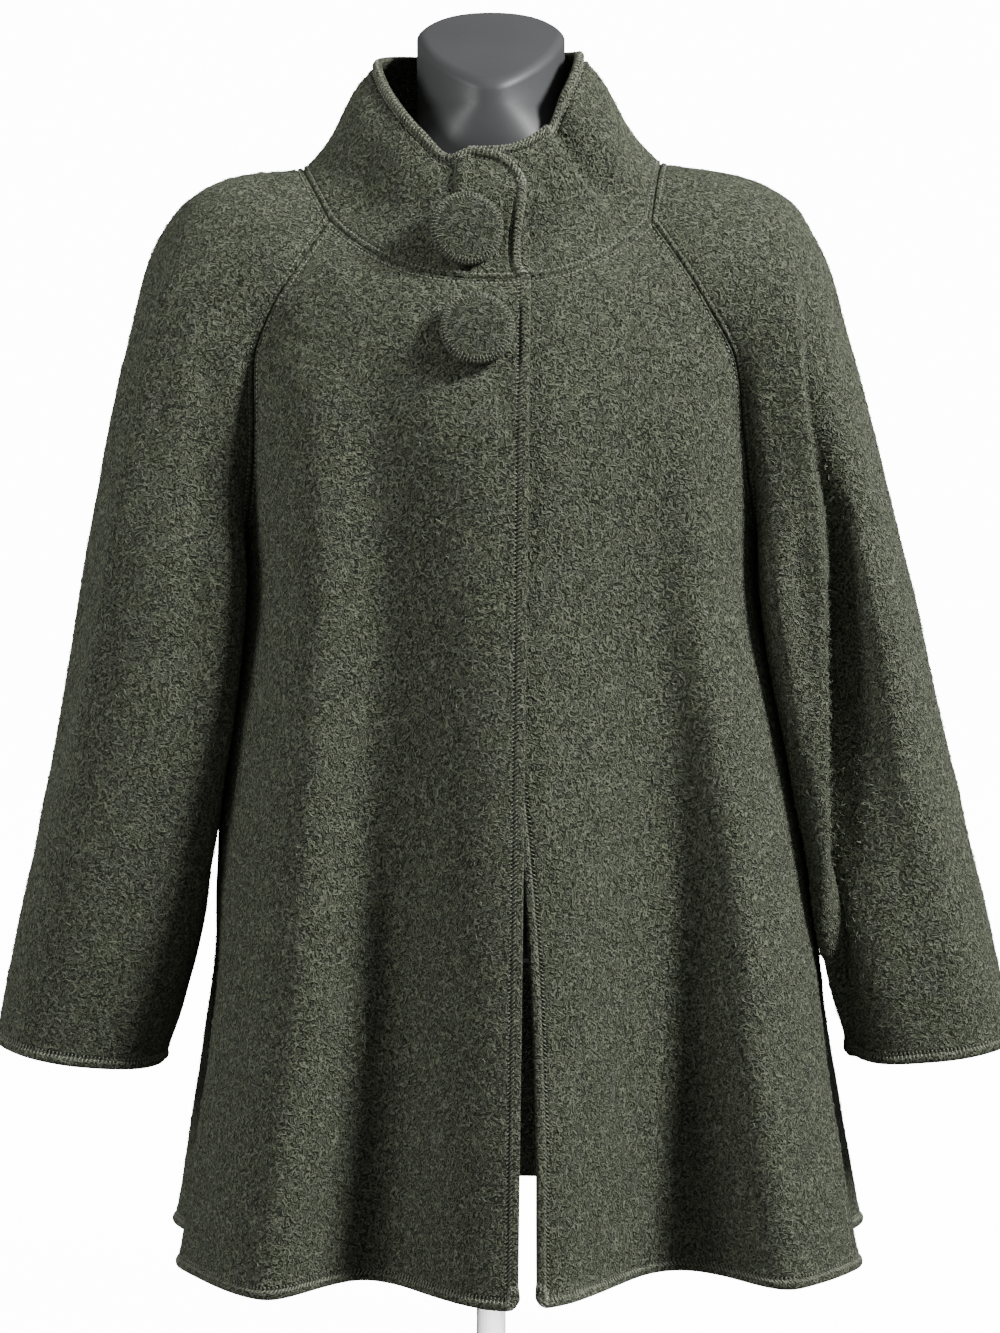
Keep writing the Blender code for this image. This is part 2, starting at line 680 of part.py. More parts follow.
def add_turned(name, profile, finish, collection, steps):
    """A solid of revolution about its own Z, from a profile that runs from the top down."""
    mesh = bpy.data.meshes.new(name)
    edges = [(i, i + 1) for i in range(len(profile) - 1)]
    mesh.from_pydata([(radius, 0, z) for radius, z in profile], edges, [])
    mesh.materials.append(finish)
    made = bpy.data.objects.new(name, mesh)
    collection.objects.link(made)
    screw = made.modifiers.new("Turn", "SCREW")
    screw.axis = "Z"
    screw.steps = screw.render_steps = steps
    screw.use_merge_vertices = True
    screw.merge_threshold = SCREW_MERGE
    return made


def coat_panels():
    """Each cloth piece as a grid panel, with the seams' points shared."""
    front_left = body_panel(edge_angle("under_x"), seam_angle("front_left", 1), FRONT_COLUMNS)
    front_right = lifted(body_panel(edge_angle("over_x"), seam_angle("front_right", -1), FRONT_COLUMNS))
    back = body_panel(seam_angle("back", 1, True), seam_angle("back", -1, True), BACK_COLUMNS)
    left_front_seam = [row[-1] for row in front_left[: SEAM_ROWS + 1]]
    left_back_seam = [row[0] for row in back[: SEAM_ROWS + 1]]
    right_front_seam = [row[-1] for row in front_right[: SEAM_ROWS + 1]]
    right_back_seam = [row[-1] for row in back[: SEAM_ROWS + 1]]
    sleeve_left = sleeve_rows(SLEEVE_LEFT, TROUGHS_LEFT, 1, left_front_seam, left_back_seam)
    sleeve_right = sleeve_rows(SLEEVE_RIGHT, TROUGHS_RIGHT, -1, right_front_seam, right_back_seam)
    neck = front_left[0] + sleeve_left[0][1:] + back[0][1:] + sleeve_right[0][-2::-1] + front_right[0][-2::-1]
    return {
        "front_right": panel_of(front_right, flip=True),
        "front_left": panel_of(front_left, flip=False),
        "back": panel_of(back, flip=False),
        "sleeve_right": panel_of(sleeve_right, flip=True),
        "sleeve_left": panel_of(sleeve_left, flip=False),
        "collar": panel_of(collar_rows(neck), flip=False),
    }


def add_button(name, place, panel, finish, collection):
    """A covered button on the panel in front of its place, square to the cloth."""
    tree = BVHTree.FromPolygons(panel.points, panel.faces)
    x, height = place
    spot, normal, _, _ = tree.ray_cast(Vector((x, -1, height)), Vector((0, 1, 0)))
    if normal.y > 0:
        normal = -normal
    profile = [(0, BUTTON_STANDOFF + BUTTON_DOME)]
    for k in range(1, BUTTON_RINGS + 1):
        turn = math.radians(90 * k / BUTTON_RINGS)
        lift = BUTTON_STANDOFF + BUTTON_RIM + (BUTTON_DOME - BUTTON_RIM) * math.cos(turn)
        profile.append((BUTTON_RADIUS * math.sin(turn), lift))
    profile += [
        (BUTTON_RADIUS, BUTTON_STANDOFF + BUTTON_SIDE),
        (BUTTON_RADIUS - BUTTON_TUCK, BUTTON_STANDOFF),
        (BUTTON_SHANK_RADIUS, BUTTON_STANDOFF),
        (BUTTON_SHANK_RADIUS, 0),
        (0, 0),
    ]
    made = add_turned(name, profile, finish, collection, BUTTON_STEPS)
    lean = Vector((0, 0, 1)).rotation_difference(normal).to_matrix().to_4x4()
    made.matrix_world = Matrix.Translation(spot + normal * BUTTON_GAP) @ lean
    return made


def form_ring(height, half_width, front, back, taper, centre_x):
    ring = []
    for k in range(FORM_SIDES):
        turn = 2 * math.pi * k / FORM_SIDES
        ahead = math.cos(turn)
        x = half_width * powered(math.sin(turn), 2 / FORM_SQUARENESS)
        x *= 1 - taper * max(0.0, (ahead + NECK_TAPER_START) / (1 + NECK_TAPER_START))
        y = -(front if ahead > 0 else back) * powered(ahead, 2 / FORM_SQUARENESS)
        ring.append(Vector((centre_x + x, y, height)))
    return ring


def add_form(finish, collection):
    """Torso and neck, lofted through the form's sections up to the slanted cap of the neck."""
    rings = [form_ring(*section) for section in FORM]
    neck = form_ring(0, NECK_HALF_WIDTH, NECK_DEPTH, NECK_DEPTH, NECK_TAPER, 0.0)

    def cap_height(y):
        return CAP_BACK - CAP_SLOPE * (NECK_DEPTH - y)

    rings.append([Vector((p.x, p.y, FORM[-1].height + NECK_RISE)) for p in neck])
    for inset, drop in CAP_EDGE:
        scale = 1 - inset * CAP_ROUND / NECK_DEPTH
        fallen = drop * CAP_ROUND
        rings.append([Vector((p.x * scale, p.y * scale, cap_height(p.y * scale) - fallen)) for p in neck])
    points = [p for ring in rings for p in ring]
    faces = []
    for r in range(len(rings) - 1):
        for k in range(FORM_SIDES):
            n = (k + 1) % FORM_SIDES
            low, high = r * FORM_SIDES, (r + 1) * FORM_SIDES
            faces.append((low + k, low + n, high + n, high + k))
    last = (len(rings) - 1) * FORM_SIDES
    faces.append(tuple(reversed(range(FORM_SIDES))))
    faces.append(tuple(last + k for k in range(FORM_SIDES)))
    return add_mesh("dress_form", points, faces, finish, collection)


def add_stand(finish, collection):
    """A round base with a hub, and the pole between the hub and the form."""
    base_profile = [
        (0, HUB_HEIGHT),
        (HUB_RADIUS - EDGE_ROUND, HUB_HEIGHT),
        (HUB_RADIUS, HUB_HEIGHT - EDGE_ROUND),
        (HUB_RADIUS, BASE_THICKNESS + EDGE_ROUND),
        (HUB_RADIUS + EDGE_ROUND, BASE_THICKNESS),
        (BASE_RADIUS - EDGE_ROUND, BASE_THICKNESS),
        (BASE_RADIUS, BASE_THICKNESS - EDGE_ROUND),
        (BASE_RADIUS, 0),
        (0, 0),
    ]
    add_turned("stand_base", base_profile, finish, collection, BASE_STEPS)
    low, high = HUB_HEIGHT + SEAM_GAP, FORM[0].height - SEAM_GAP
    bpy.ops.mesh.primitive_cylinder_add(vertices=POLE_SIDES, radius=POLE_RADIUS, depth=high - low)
    pole = bpy.context.object
    pole.name = pole.data.name = "stand_pole"
    pole.location = (0, 0, (low + high) / 2)
    pole.data.materials.append(finish)
    for holder in list(pole.users_collection):
        holder.objects.unlink(pole)
    collection.objects.link(pole)


def main():
    for old in list(bpy.data.objects):
        bpy.data.objects.remove(old)
    collection = new_collection("wool_a_line_coat")
    wool = material("green_wool", (0.050, 0.054, 0.040), 0.95)
    plastic = material("grey_plastic", (0.13, 0.13, 0.14), 0.42)
    steel = material("painted_steel", (0.80, 0.80, 0.79), 0.45)

    panels = coat_panels()
    normals = shared_normals(list(panels.values()))
    for name, panel in panels.items():
        points, faces = wall(panel, normals)
        add_mesh(name, points, faces, wool, collection)
    add_button("button_collar", BUTTON_ON_COLLAR, panels["collar"], wool, collection)
    add_button("button_front", BUTTON_ON_FRONT, panels["front_right"], wool, collection)
    add_form(plastic, collection)
    add_stand(steel, collection)


main()
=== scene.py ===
"""Looks of the wool a-line coat on its dress form.

Metres, +Z up, the coat's front towards -Y, its left sleeve as worn at +X. Each cloth piece is a
fine grid on the same form as its solid, with a wall, sewn edges, seams and listed creases.
"""

import math
from collections import namedtuple

import bpy
import numpy as np
from mathutils import Matrix, Vector, noise
from mathutils.bvhtree import BVHTree


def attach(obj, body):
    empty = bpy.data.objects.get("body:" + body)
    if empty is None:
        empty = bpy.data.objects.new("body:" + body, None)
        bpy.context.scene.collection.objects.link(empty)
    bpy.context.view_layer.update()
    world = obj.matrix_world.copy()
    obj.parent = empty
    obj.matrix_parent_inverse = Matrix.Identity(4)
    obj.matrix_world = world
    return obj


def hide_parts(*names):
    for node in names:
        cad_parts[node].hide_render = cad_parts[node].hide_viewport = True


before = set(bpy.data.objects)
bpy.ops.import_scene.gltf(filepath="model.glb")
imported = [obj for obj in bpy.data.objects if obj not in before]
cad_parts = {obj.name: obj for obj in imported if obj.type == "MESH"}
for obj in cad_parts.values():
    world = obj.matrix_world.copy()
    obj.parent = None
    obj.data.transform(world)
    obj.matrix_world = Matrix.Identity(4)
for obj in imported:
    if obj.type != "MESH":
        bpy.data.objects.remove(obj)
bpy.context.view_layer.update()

# Camera, level with the chest and tilted down a little
CAMERA_PLACE = (0.0067, -2.635, 0.848)
CAMERA_TILT = 6.2  # degrees below the horizon
CAMERA_LENS = 96.6
SENSOR = 36.0

# Studio: a floor that curves up into a backdrop, and its lights
FLOOR_FRONT = -9.0
FLOOR_BACK = 6.0
FLOOR_HALF_WIDTH = 10.0
FLOOR_GLOW = 14.0
BACKDROP_RADIUS = 2.0
BACKDROP_TOP = 9.0
BACKDROP_STEP = 9  # degrees of the curve
SKY_STRENGTH = 0.17
AreaLight = namedtuple("AreaLight", "name place aim size power")
KEY = AreaLight("key", (2.42, -1.38, 2.70), (0.0, 0.0, 0.65), 0.7, 180)
FILL = AreaLight("fill", (-2.6, -1.5, 1.7), (0.0, 0.0, 0.6), 1.2, 45)
NarrowLight = namedtuple("NarrowLight", "name place aim size power angle blend")
STAND_LIGHT = NarrowLight("stand", (0.5, -1.5, 0.12), (0.0, 0.0, 0.05), 0.05, 420, 4.4, 0.6)

# Cloth and sewing
CLOTH = 0.0024
OVERLAP_LIFT = 0.0052  # how far the right front stands off the left front
LIFT_FULL_X = -0.036
LIFT_START_X = -0.100

# Heights of the body
HEM = 0.130
UNDERARM = 0.640
NECK_FRONT = 0.848
NECK_RAGLAN_FRONT = 0.889
NECK_BACK = 0.937
NECK_RAGLAN_BACK = 0.927
NECK_ROUNDNESS = 2.6
RAGLAN_NECK_X = 0.1150
BACK_RAGLAN_NECK_X = 0.1050
NECK_ROUNDS = 6

# The sleeves' coarse grid, from which the fine one is drawn
SLEEVE_COLUMNS = 24
SEAM_ROWS = 11
ROW_CROWDING = 1.4
INNER_CROWDING = 0.5
INNER_CROWDING_FROM = 0.55  # station
SQUARENESS = 2.3

Section = namedtuple("Section", "height half_width front back centre_x")
BODY = (
    Section(0.130, 0.268, 0.196, 0.182, 0.0206),
    Section(0.180, 0.259, 0.192, 0.176, 0.0200),
    Section(0.255, 0.245, 0.186, 0.168, 0.0190),
    Section(0.335, 0.232, 0.178, 0.160, 0.0195),
    Section(0.410, 0.224, 0.171, 0.153, 0.0173),
    Section(0.520, 0.207, 0.160, 0.140, 0.0125),
    Section(0.640, 0.190, 0.148, 0.126, 0.0080),
    Section(0.740, 0.192, 0.141, 0.118, 0.0055),
    Section(0.800, 0.200, 0.126, 0.108, 0.0035),
    Section(0.848, 0.205, 0.105, 0.098, 0.0015),
    Section(0.890, 0.205, 0.066, 0.088, 0.0000),
    Section(0.937, 0.200, 0.040, 0.072, -0.0020),
)

# A fold's valley runs from the angle top at its start to the angle low at the hem, and is
# pushed in from the direction side
Fold = namedtuple("Fold", "first top low last depth growth start side")
FOLDS = (
    Fold(-41, -20, -20, 0, 0.064, 0.90, 0.80, 0),
    Fold(-64, -42, -41, -20, -0.017, 0.35, 0.80, 0),
    Fold(0, 33, 21, 46, 0.088, 1.15, 0.80, 0),
    Fold(-103, -84, -84, -65, 0.028, 1.35, 0.50, -84),
    Fold(65, 84, 84, 103, 0.028, 1.35, 0.50, 84),
    Fold(-141, -126, -124, -107, 0.030, 1.35, 0.60, -124),
    Fold(107, 126, 124, 141, 0.032, 1.35, 0.60, 124),
    Fold(-170, -150, -152, -134, 0.042, 1.20, 0.66, 180),
    Fold(132, 148, 150, 168, 0.046, 1.20, 0.66, 180),
)

# The raglan seams, as shares of the body's half width, from the neck to the underarm
Seam = namedtuple("Seam", "share front_right front_left back")
RAGLAN = (
    Seam(0.00, 0.561, 0.561, 0.528),
    Seam(0.12, 0.665, 0.655, 0.600),
    Seam(0.25, 0.775, 0.750, 0.690),
    Seam(0.40, 0.870, 0.860, 0.775),
    Seam(0.55, 0.905, 0.905, 0.850),
    Seam(0.70, 0.925, 0.930, 0.900),
    Seam(0.85, 0.958, 0.960, 0.950),
    Seam(0.95, 0.987, 0.988, 0.985),
    Seam(1.00, 1.000, 1.000, 1.000),
)

Edge = namedtuple("Edge", "height over_x under_x")
FRONT_EDGES = (
    Edge(0.130, 0.0195, 0.0325),
    Edge(0.240, 0.0208, 0.0318),
    Edge(0.370, 0.0225, 0.0270),
    Edge(0.600, 0.0255, 0.0040),
    Edge(0.848, 0.0285, -0.0220),
)

# Sleeve sections from the neck (0) past the underarm (1) to the cuff (2)
Ring = namedtuple(
    "Ring", "station outer_x outer_z centre_x centre_y front back inner inner_z start square"
)
SLEEVE_RIGHT = (
    Ring(0.00, 0.137, 0.9275, 0.085, 0.000, 0.062, 0.064, 0.050, 0.889, 34, 2.0),
    Ring(0.12, 0.187, 0.9215, 0.120, 0.000, 0.078, 0.070, 0.050, 0.859, 11, 2.0),
    Ring(0.25, 0.2225, 0.9035, 0.145, 0.000, 0.088, 0.078, 0.050, 0.827, 4, 2.0),
    Ring(0.40, 0.2465, 0.8690, 0.172, 0.000, 0.091, 0.083, 0.050, 0.789, -13, 2.0),
    Ring(0.55, 0.2600, 0.8283, 0.192, 0.000, 0.091, 0.085, 0.052, 0.752, -31, 2.2),
    Ring(0.70, 0.2722, 0.7800, 0.207, -0.001, 0.092, 0.086, 0.060, 0.714, -44, 2.7),
    Ring(0.85, 0.2842, 0.7250, 0.220, -0.002, 0.093, 0.086, 0.068, 0.677, -56, 3.1),
    Ring(1.00, 0.2964, 0.6600, 0.231, -0.004, 0.093, 0.085, 0.072, 0.640, -90, 3.4),
    Ring(1.25, 0.3116, 0.5670, 0.243, -0.008, 0.088, 0.080, 0.073, 0.548, -90, 3.3),
    Ring(1.50, 0.3282, 0.4700, 0.261, -0.016, 0.080, 0.074, 0.074, 0.452, -90, 2.9),
    Ring(1.75, 0.3492, 0.3760, 0.283, -0.021, 0.072, 0.068, 0.069, 0.357, -90, 2.5),
    Ring(2.00, 0.3679, 0.2870, 0.3062, -0.020, 0.065, 0.065, 0.062, 0.2705, -90, 2.2),
)
SLEEVE_LEFT = (
    Ring(0.00, 0.124, 0.9310, 0.085, 0.000, 0.062, 0.064, 0.050, 0.889, 34, 2.0),
    Ring(0.12, 0.179, 0.9225, 0.120, 0.000, 0.078, 0.070, 0.050, 0.859, 11, 2.0),
    Ring(0.25, 0.2190, 0.9035, 0.145, 0.000, 0.090, 0.078, 0.050, 0.827, 4, 2.0),
    Ring(0.40, 0.2410, 0.8680, 0.172, 0.000, 0.093, 0.083, 0.050, 0.789, -13, 2.0),
    Ring(0.55, 0.2572, 0.8283, 0.192, 0.000, 0.094, 0.085, 0.050, 0.752, -31, 2.2),
    Ring(0.70, 0.2698, 0.7800, 0.208, -0.001, 0.094, 0.086, 0.056, 0.714, -44, 2.6),
    Ring(0.85, 0.2847, 0.7250, 0.223, -0.002, 0.094, 0.086, 0.060, 0.677, -56, 3.0),
    Ring(1.00, 0.3010, 0.6600, 0.240, -0.004, 0.093, 0.085, 0.062, 0.640, -90, 3.2),
    Ring(1.25, 0.3232, 0.5670, 0.258, -0.008, 0.087, 0.080, 0.066, 0.548, -90, 3.0),
    Ring(1.50, 0.3455, 0.4700, 0.279, -0.016, 0.079, 0.074, 0.076, 0.452, -90, 2.7),
    Ring(1.75, 0.3682, 0.3760, 0.302, -0.023, 0.071, 0.066, 0.077, 0.361, -90, 2.5),
    Ring(2.00, 0.3889, 0.2890, 0.3283, -0.022, 0.065, 0.063, 0.0650, 0.2755, -90, 2.2),
)
ARM_STATIONS = (1.02, 1.06, 1.12, 1.20, 1.30, 1.42, 1.56, 1.70, 1.85, 2.0)
SEAM_EASE = 0.40
ARM_EASE = 0.30
RELAX_PASSES = 6
RELAX_ROWS = (5, 19)
ARM_CLEARANCE = 0.004
CLEARANCE_START = 0.010
CLEARANCE_RISE = 0.016
PUSH_SOFTNESS = 0.0025
PUSH_AT_SEAM = 0.05
PUSH_FREE = 30

Trough = namedtuple("Trough", "angle half_width depth first last")
TROUGHS_RIGHT = (
    Trough(62, 16, 0.006, 0.20, 1.80),
    Trough(132, 20, 0.009, 0.35, 1.70),
)
TROUGHS_LEFT = (
    Trough(-2, 30, 0.020, 0.20, 2.10),
    Trough(128, 20, 0.010, 0.35, 1.70),
)

# The collar's rim, round the neck from the front towards the wearer's left
Rim = namedtuple("Rim", "angle radius height")
RIM_CENTRE = (-0.0060, -0.0040)
RIM = (
    Rim(-14, 0.0700, 0.9400),
    Rim(12, 0.0695, 0.9420),
    Rim(36, 0.0700, 0.9530),
    Rim(60, 0.0685, 0.9860),
    Rim(90, 0.0680, 1.0110),
    Rim(135, 0.0720, 1.0130),
    Rim(180, 0.0720, 1.0120),
    Rim(225, 0.0740, 1.0110),
    Rim(270, 0.0745, 1.0040),
    Rim(300, 0.0720, 0.9780),
    Rim(325, 0.0715, 0.9520),
    Rim(343, 0.0735, 0.9350),
    Rim(354, 0.0760, 0.9400),
    Rim(366, 0.0790, 0.9370),
    Rim(373, 0.0810, 0.9290),
    Rim(378, 0.0830, 0.9170),
)
COLLAR_BELLY = 0.0030
COLLAR_BELLY_LIFT = 0.3

# The curve of the collar's top end, as a shift along x from its rim (0) to the neck seam (1)
Tab = namedtuple("Tab", "down shift")
TAB = (
    Tab(0.00, 0.0045),
    Tab(0.28, 0.0015),
    Tab(0.60, -0.0028),
    Tab(0.85, -0.0042),
    Tab(1.00, 0.0000),
)
TAB_START = 344

# Fine grids: steps close together at an edge, wider inside
EDGE_STEPS = (0.0, 0.0002, 0.0005, 0.0009, 0.0014)
FINE_STEP = 0.0009
FINE_REACH = 0.0115  # from an edge, over its sewing
WIDE_STEP = 0.0062
FRONT_WIDTH = 0.36
BACK_WIDTH = 0.72
SLEEVE_WIDTH = 0.46
SEAM_LENGTH = 0.30
SKIRT_LENGTH = 0.51
ARM_LENGTH = 0.38
COLLAR_LENGTH = 0.80
COLLAR_HEIGHT = 0.10
COLLAR_STEP = 0.0030
SLEEVE_STEP = 0.0032
BLOCK = 2000  # points whose distances are worked out at once

# Relief of the sewn edges
BAND = 0.0078  # from a finished edge to its row of stitches
BAND_BULGE = 0.0022
BAND_FULLNESS = 0.6  # exponent: below 1, a padded band is fuller than a sine
COLLAR_BULGE = 0.0030
GROOVE_DEPTH = 0.0019
GROOVE_WIDTH = 0.0013
PUFF = 0.0005
PUFF_PLACE = 0.0108
PUFF_WIDTH = 0.0020
SEAM_GROOVE = 0.0012
SEAM_GROOVE_WIDTH = 0.0012
SEAM_BAND = 0.0036  # from a seam to each row of stitches beside it
SEAM_BULGE = 0.0012
EDGE_RADIUS = 0.00125
SEAM_MEETS = 0.0020  # how near the points of two pieces' sewn sides lie
SEAM_TURN = 0.0040  # how far from a seam the two pieces' normals come together

# Soft unevenness of the cloth: size in metres and height
UNEVEN = ((0.055, 0.0011), (0.021, 0.00035))

# Creases listed one by one: the line of a valley as x, height and depth, or of a ridge where the
# depth is negative, and its reach towards -X and towards +X
Crease = namedtuple("Crease", "piece left right line")
CREASES = (
    Crease("sleeve_left", 0.007, 0.046, (
        (0.2240, 0.862, 0.0), (0.2250, 0.832, 0.004), (0.2278, 0.777, 0.009), (0.2342, 0.730, 0.014),
        (0.2409, 0.682, 0.019), (0.2456, 0.635, 0.023), (0.2484, 0.548, 0.027), (0.2491, 0.462, 0.026),
        (0.2487, 0.367, 0.020), (0.2471, 0.292, 0.012), (0.2465, 0.262, 0.010),
    )),
    Crease("sleeve_left", 0.020, 0.006, (
        (0.2190, 0.862, 0.0), (0.2195, 0.839, -0.002), (0.2215, 0.777, -0.003), (0.2275, 0.730, -0.004),
        (0.2345, 0.682, -0.005), (0.2390, 0.635, -0.006), (0.2419, 0.548, -0.006), (0.2433, 0.462, -0.005),
        (0.2430, 0.367, -0.003), (0.2420, 0.292, 0.0),
    )),
    Crease("sleeve_left", 0.016, 0.016, (
        (0.270, 0.640, 0.0), (0.281, 0.575, 0.003), (0.296, 0.500, 0.0),
    )),
    Crease("sleeve_right", 0.022, 0.006, (
        (-0.2330, 0.866, 0.0), (-0.2410, 0.844, 0.004), (-0.2510, 0.798, 0.006), (-0.2600, 0.755, 0.008),
        (-0.2680, 0.713, 0.009), (-0.2757, 0.672, 0.009), (-0.2826, 0.639, 0.009), (-0.2927, 0.586, 0.007),
        (-0.3064, 0.532, 0.004), (-0.3120, 0.490, 0.0),
    )),
    Crease("sleeve_right", 0.005, 0.020, (
        (-0.2260, 0.866, 0.0), (-0.2340, 0.844, -0.002), (-0.2440, 0.798, -0.004),
        (-0.2530, 0.755, -0.004), (-0.2610, 0.713, -0.005), (-0.2690, 0.672, -0.005),
        (-0.2755, 0.639, -0.004), (-0.2860, 0.586, -0.003), (-0.2990, 0.532, 0.0),
    )),
    Crease("sleeve_right", 0.022, 0.022, (
        (-0.196, 0.850, 0.0), (-0.198, 0.780, 0.005), (-0.204, 0.700, 0.007), (-0.212, 0.600, 0.006),
        (-0.222, 0.480, 0.0),
    )),
    Crease("collar", 0.008, 0.024, (
        (0.0400, 0.966, 0.0100), (0.0563, 0.941, 0.0130), (0.0718, 0.918, 0.0095), (0.0859, 0.901, 0.0020),
        (0.0900, 0.893, 0.0),
    )),
    Crease("collar", 0.016, 0.005, (
        (0.0330, 0.960, -0.0020), (0.0490, 0.937, -0.0030), (0.0640, 0.914, -0.0020), (0.0780, 0.897, 0.0),
    )),
    Crease("collar", 0.008, 0.012, (
        (0.0300, 0.935, 0.0), (0.0370, 0.915, 0.0018), (0.0480, 0.893, 0.0),
    )),
    Crease("front_right", 0.012, 0.014, (
        (0.0000, 0.795, 0.0), (0.0053, 0.769, 0.0022), (0.0150, 0.728, 0.0016), (0.0200, 0.700, 0.0),
    )),
    Crease("front_right", 0.016, 0.016, (
        (-0.060, 0.790, 0.0), (-0.078, 0.740, 0.0018), (-0.090, 0.680, 0.0),
    )),
    Crease("front_left", 0.020, 0.014, (
        (0.110, 0.800, 0.0), (0.104, 0.740, 0.0020), (0.100, 0.670, 0.0015), (0.096, 0.600, 0.0),
    )),
    Crease("front_left", 0.012, 0.018, (
        (0.060, 0.560, 0.0), (0.052, 0.500, 0.0016), (0.048, 0.430, 0.0),
    )),
)
CREASES_BEHIND = (
    Crease("back", 0.026, 0.016, (
        (0.070, 0.870, 0.0), (0.096, 0.810, 0.0035), (0.118, 0.740, 0.0045), (0.128, 0.660, 0.0),
    )),
    Crease("back", 0.014, 0.024, (
        (-0.082, 0.880, 0.0), (-0.108, 0.815, 0.0040), (-0.124, 0.755, 0.0030), (-0.131, 0.690, 0.0),
    )),
    Crease("back", 0.020, 0.020, (
        (0.012, 0.900, 0.0), (0.004, 0.850, 0.0022), (-0.010, 0.790, 0.0),
    )),
    Crease("back", 0.022, 0.014, (
        (-0.040, 0.560, 0.0), (-0.052, 0.480, 0.0030), (-0.060, 0.390, 0.0),
    )),
    Crease("back", 0.015, 0.024, (
        (0.088, 0.500, 0.0), (0.098, 0.420, 0.0026), (0.103, 0.330, 0.0),
    )),
    Crease("sleeve_left", 0.010, 0.034, (
        (0.225, 0.830, 0.0), (0.237, 0.750, 0.008), (0.247, 0.660, 0.013), (0.254, 0.560, 0.015),
        (0.262, 0.450, 0.010), (0.272, 0.350, 0.0),
    )),
    Crease("sleeve_left", 0.018, 0.018, (
        (0.330, 0.600, 0.0), (0.306, 0.565, 0.0040), (0.284, 0.545, 0.0),
    )),
    Crease("sleeve_left", 0.014, 0.020, (
        (0.345, 0.540, 0.0), (0.318, 0.512, 0.0030), (0.300, 0.500, 0.0),
    )),
    Crease("sleeve_right", 0.032, 0.012, (
        (-0.222, 0.840, 0.0), (-0.236, 0.760, 0.007), (-0.248, 0.650, 0.011), (-0.256, 0.540, 0.009),
        (-0.264, 0.440, 0.0),
    )),
    Crease("sleeve_right", 0.016, 0.020, (
        (-0.320, 0.585, 0.0), (-0.296, 0.552, 0.0042), (-0.272, 0.536, 0.0),
    )),
    Crease("sleeve_right", 0.018, 0.013, (
        (-0.326, 0.520, 0.0), (-0.304, 0.500, 0.0028), (-0.286, 0.492, 0.0),
    )),
    Crease("collar", 0.016, 0.024, (
        (-0.048, 1.000, 0.0), (-0.060, 0.970, 0.0030), (-0.072, 0.945, 0.0),
    )),
    Crease("collar", 0.020, 0.014, (
        (0.036, 1.002, 0.0), (0.050, 0.972, 0.0026), (0.066, 0.946, 0.0),
    )),
)
CUSP_FROM = 0.030  # a wider reach than this rises steeply from its valley and levels out
CREASE_TURN = (0.02, 0.30)  # how far a face turns to the front or back before its creases reach it

CORNER = 0.009  # radius of the fronts' lower corners

# Stitches
STITCH_PITCH = 0.0033
STITCH_LENGTH = 0.0026
STITCH_RADIUS = 0.00055
TICK_PITCH = 0.0029
TICK_RADIUS = 0.00052
SpindleRing = namedtuple("SpindleRing", "share thick")  # of a thread's length and radius
SPINDLE = (SpindleRing(0.18, 0.85), SpindleRing(0.5, 1.0), SpindleRing(0.82, 0.85))
SPINDLE_LIFT = 0.5  # how far its middle stands off the cloth, in radii
SPINDLE_CORNER = 1.2  # from its middle to its corners, in radii
Ticks = namedtuple("Ticks", "start end")  # distances in from the edge
EDGE_TICKS = Ticks(0.0050, 0.0100)  # over the row of stitches
RIM_TICKS = Ticks(0.0008, 0.0066)  # over the collar's rolled edge

# The nap: short curled fibres that lie on the cloth
NAP_FIBRES = 68000  # on the whole coat
COAT_AREA = 1.513  # outside, in square metres
NAP_LENGTH = (0.0038, 0.0078)
NAP_HALF_WIDTH = 0.00030
NAP_CURL = 0.0014
NAP_SWAY = NAP_CURL / 3
NAP_LIFT = 0.00042
NAP_SUNK = 0.00015
NAP_STRAY = 0.06  # share whose one end stands off the cloth
NAP_STRAY_LIFT = 0.0022
NAP_STRAY_FROM = 0.3  # behind a fibre's middle, in lengths
NAP_LIFT_SPREAD = (0.5, 1.5)
NAP_WIDTH_SPREAD = (0.7, 1.2)
NAP_TWIST = 0.5
NAP_SPREAD = 60  # degrees either side of the way down
NAP_CLEAR = 0.0012  # beyond the rows of stitches
NapPoint = namedtuple("NapPoint", "along bend wave height")
NAP_POINTS = (
    NapPoint(-0.5, 0, 0, 0),
    NapPoint(-0.17, 0.9, 1, 1),
    NapPoint(0.17, 0.9, -1, 1),
    NapPoint(0.5, 0, 0, 0),
)

# Buttons
BUTTON_RADIUS = 0.0262
BUTTON_DOME = 0.0120
BUTTON_RIM = 0.0042
BUTTON_FLATNESS = 0.275  # exponent: below 0.5, the dome is flatter than a ball's
BUTTON_STEPS = 18  # from the top to the rim
BUTTON_EDGE = ((0.0001, 0.0030), (0.0006, 0.0018), (0.0018, 0.0006), (0.0036, 0.0))  # inset, height
BUTTON_FLARE = 0.001
GATHERS = 64  # small folds of the cloth over the rim
GATHER_FROM = 0.86  # shares of the radius
GATHER_TO = 0.995
GATHER_STAGGER = 12  # every second fold is longer by one in this many of its start
GATHER_RADIUS = 0.00034
BUTTON_STANDOFF = 0.0034
BUTTON_SHANK_RADIUS = 0.0060
BUTTON_GAP = 0.0008
BUTTON_ON_COLLAR = (-0.0185, 0.8810)
BUTTON_ON_FRONT = (-0.0090, 0.8100)
BUTTON_TURNS = 72
AHEAD = -1.0  # a place along Y in front of the whole coat

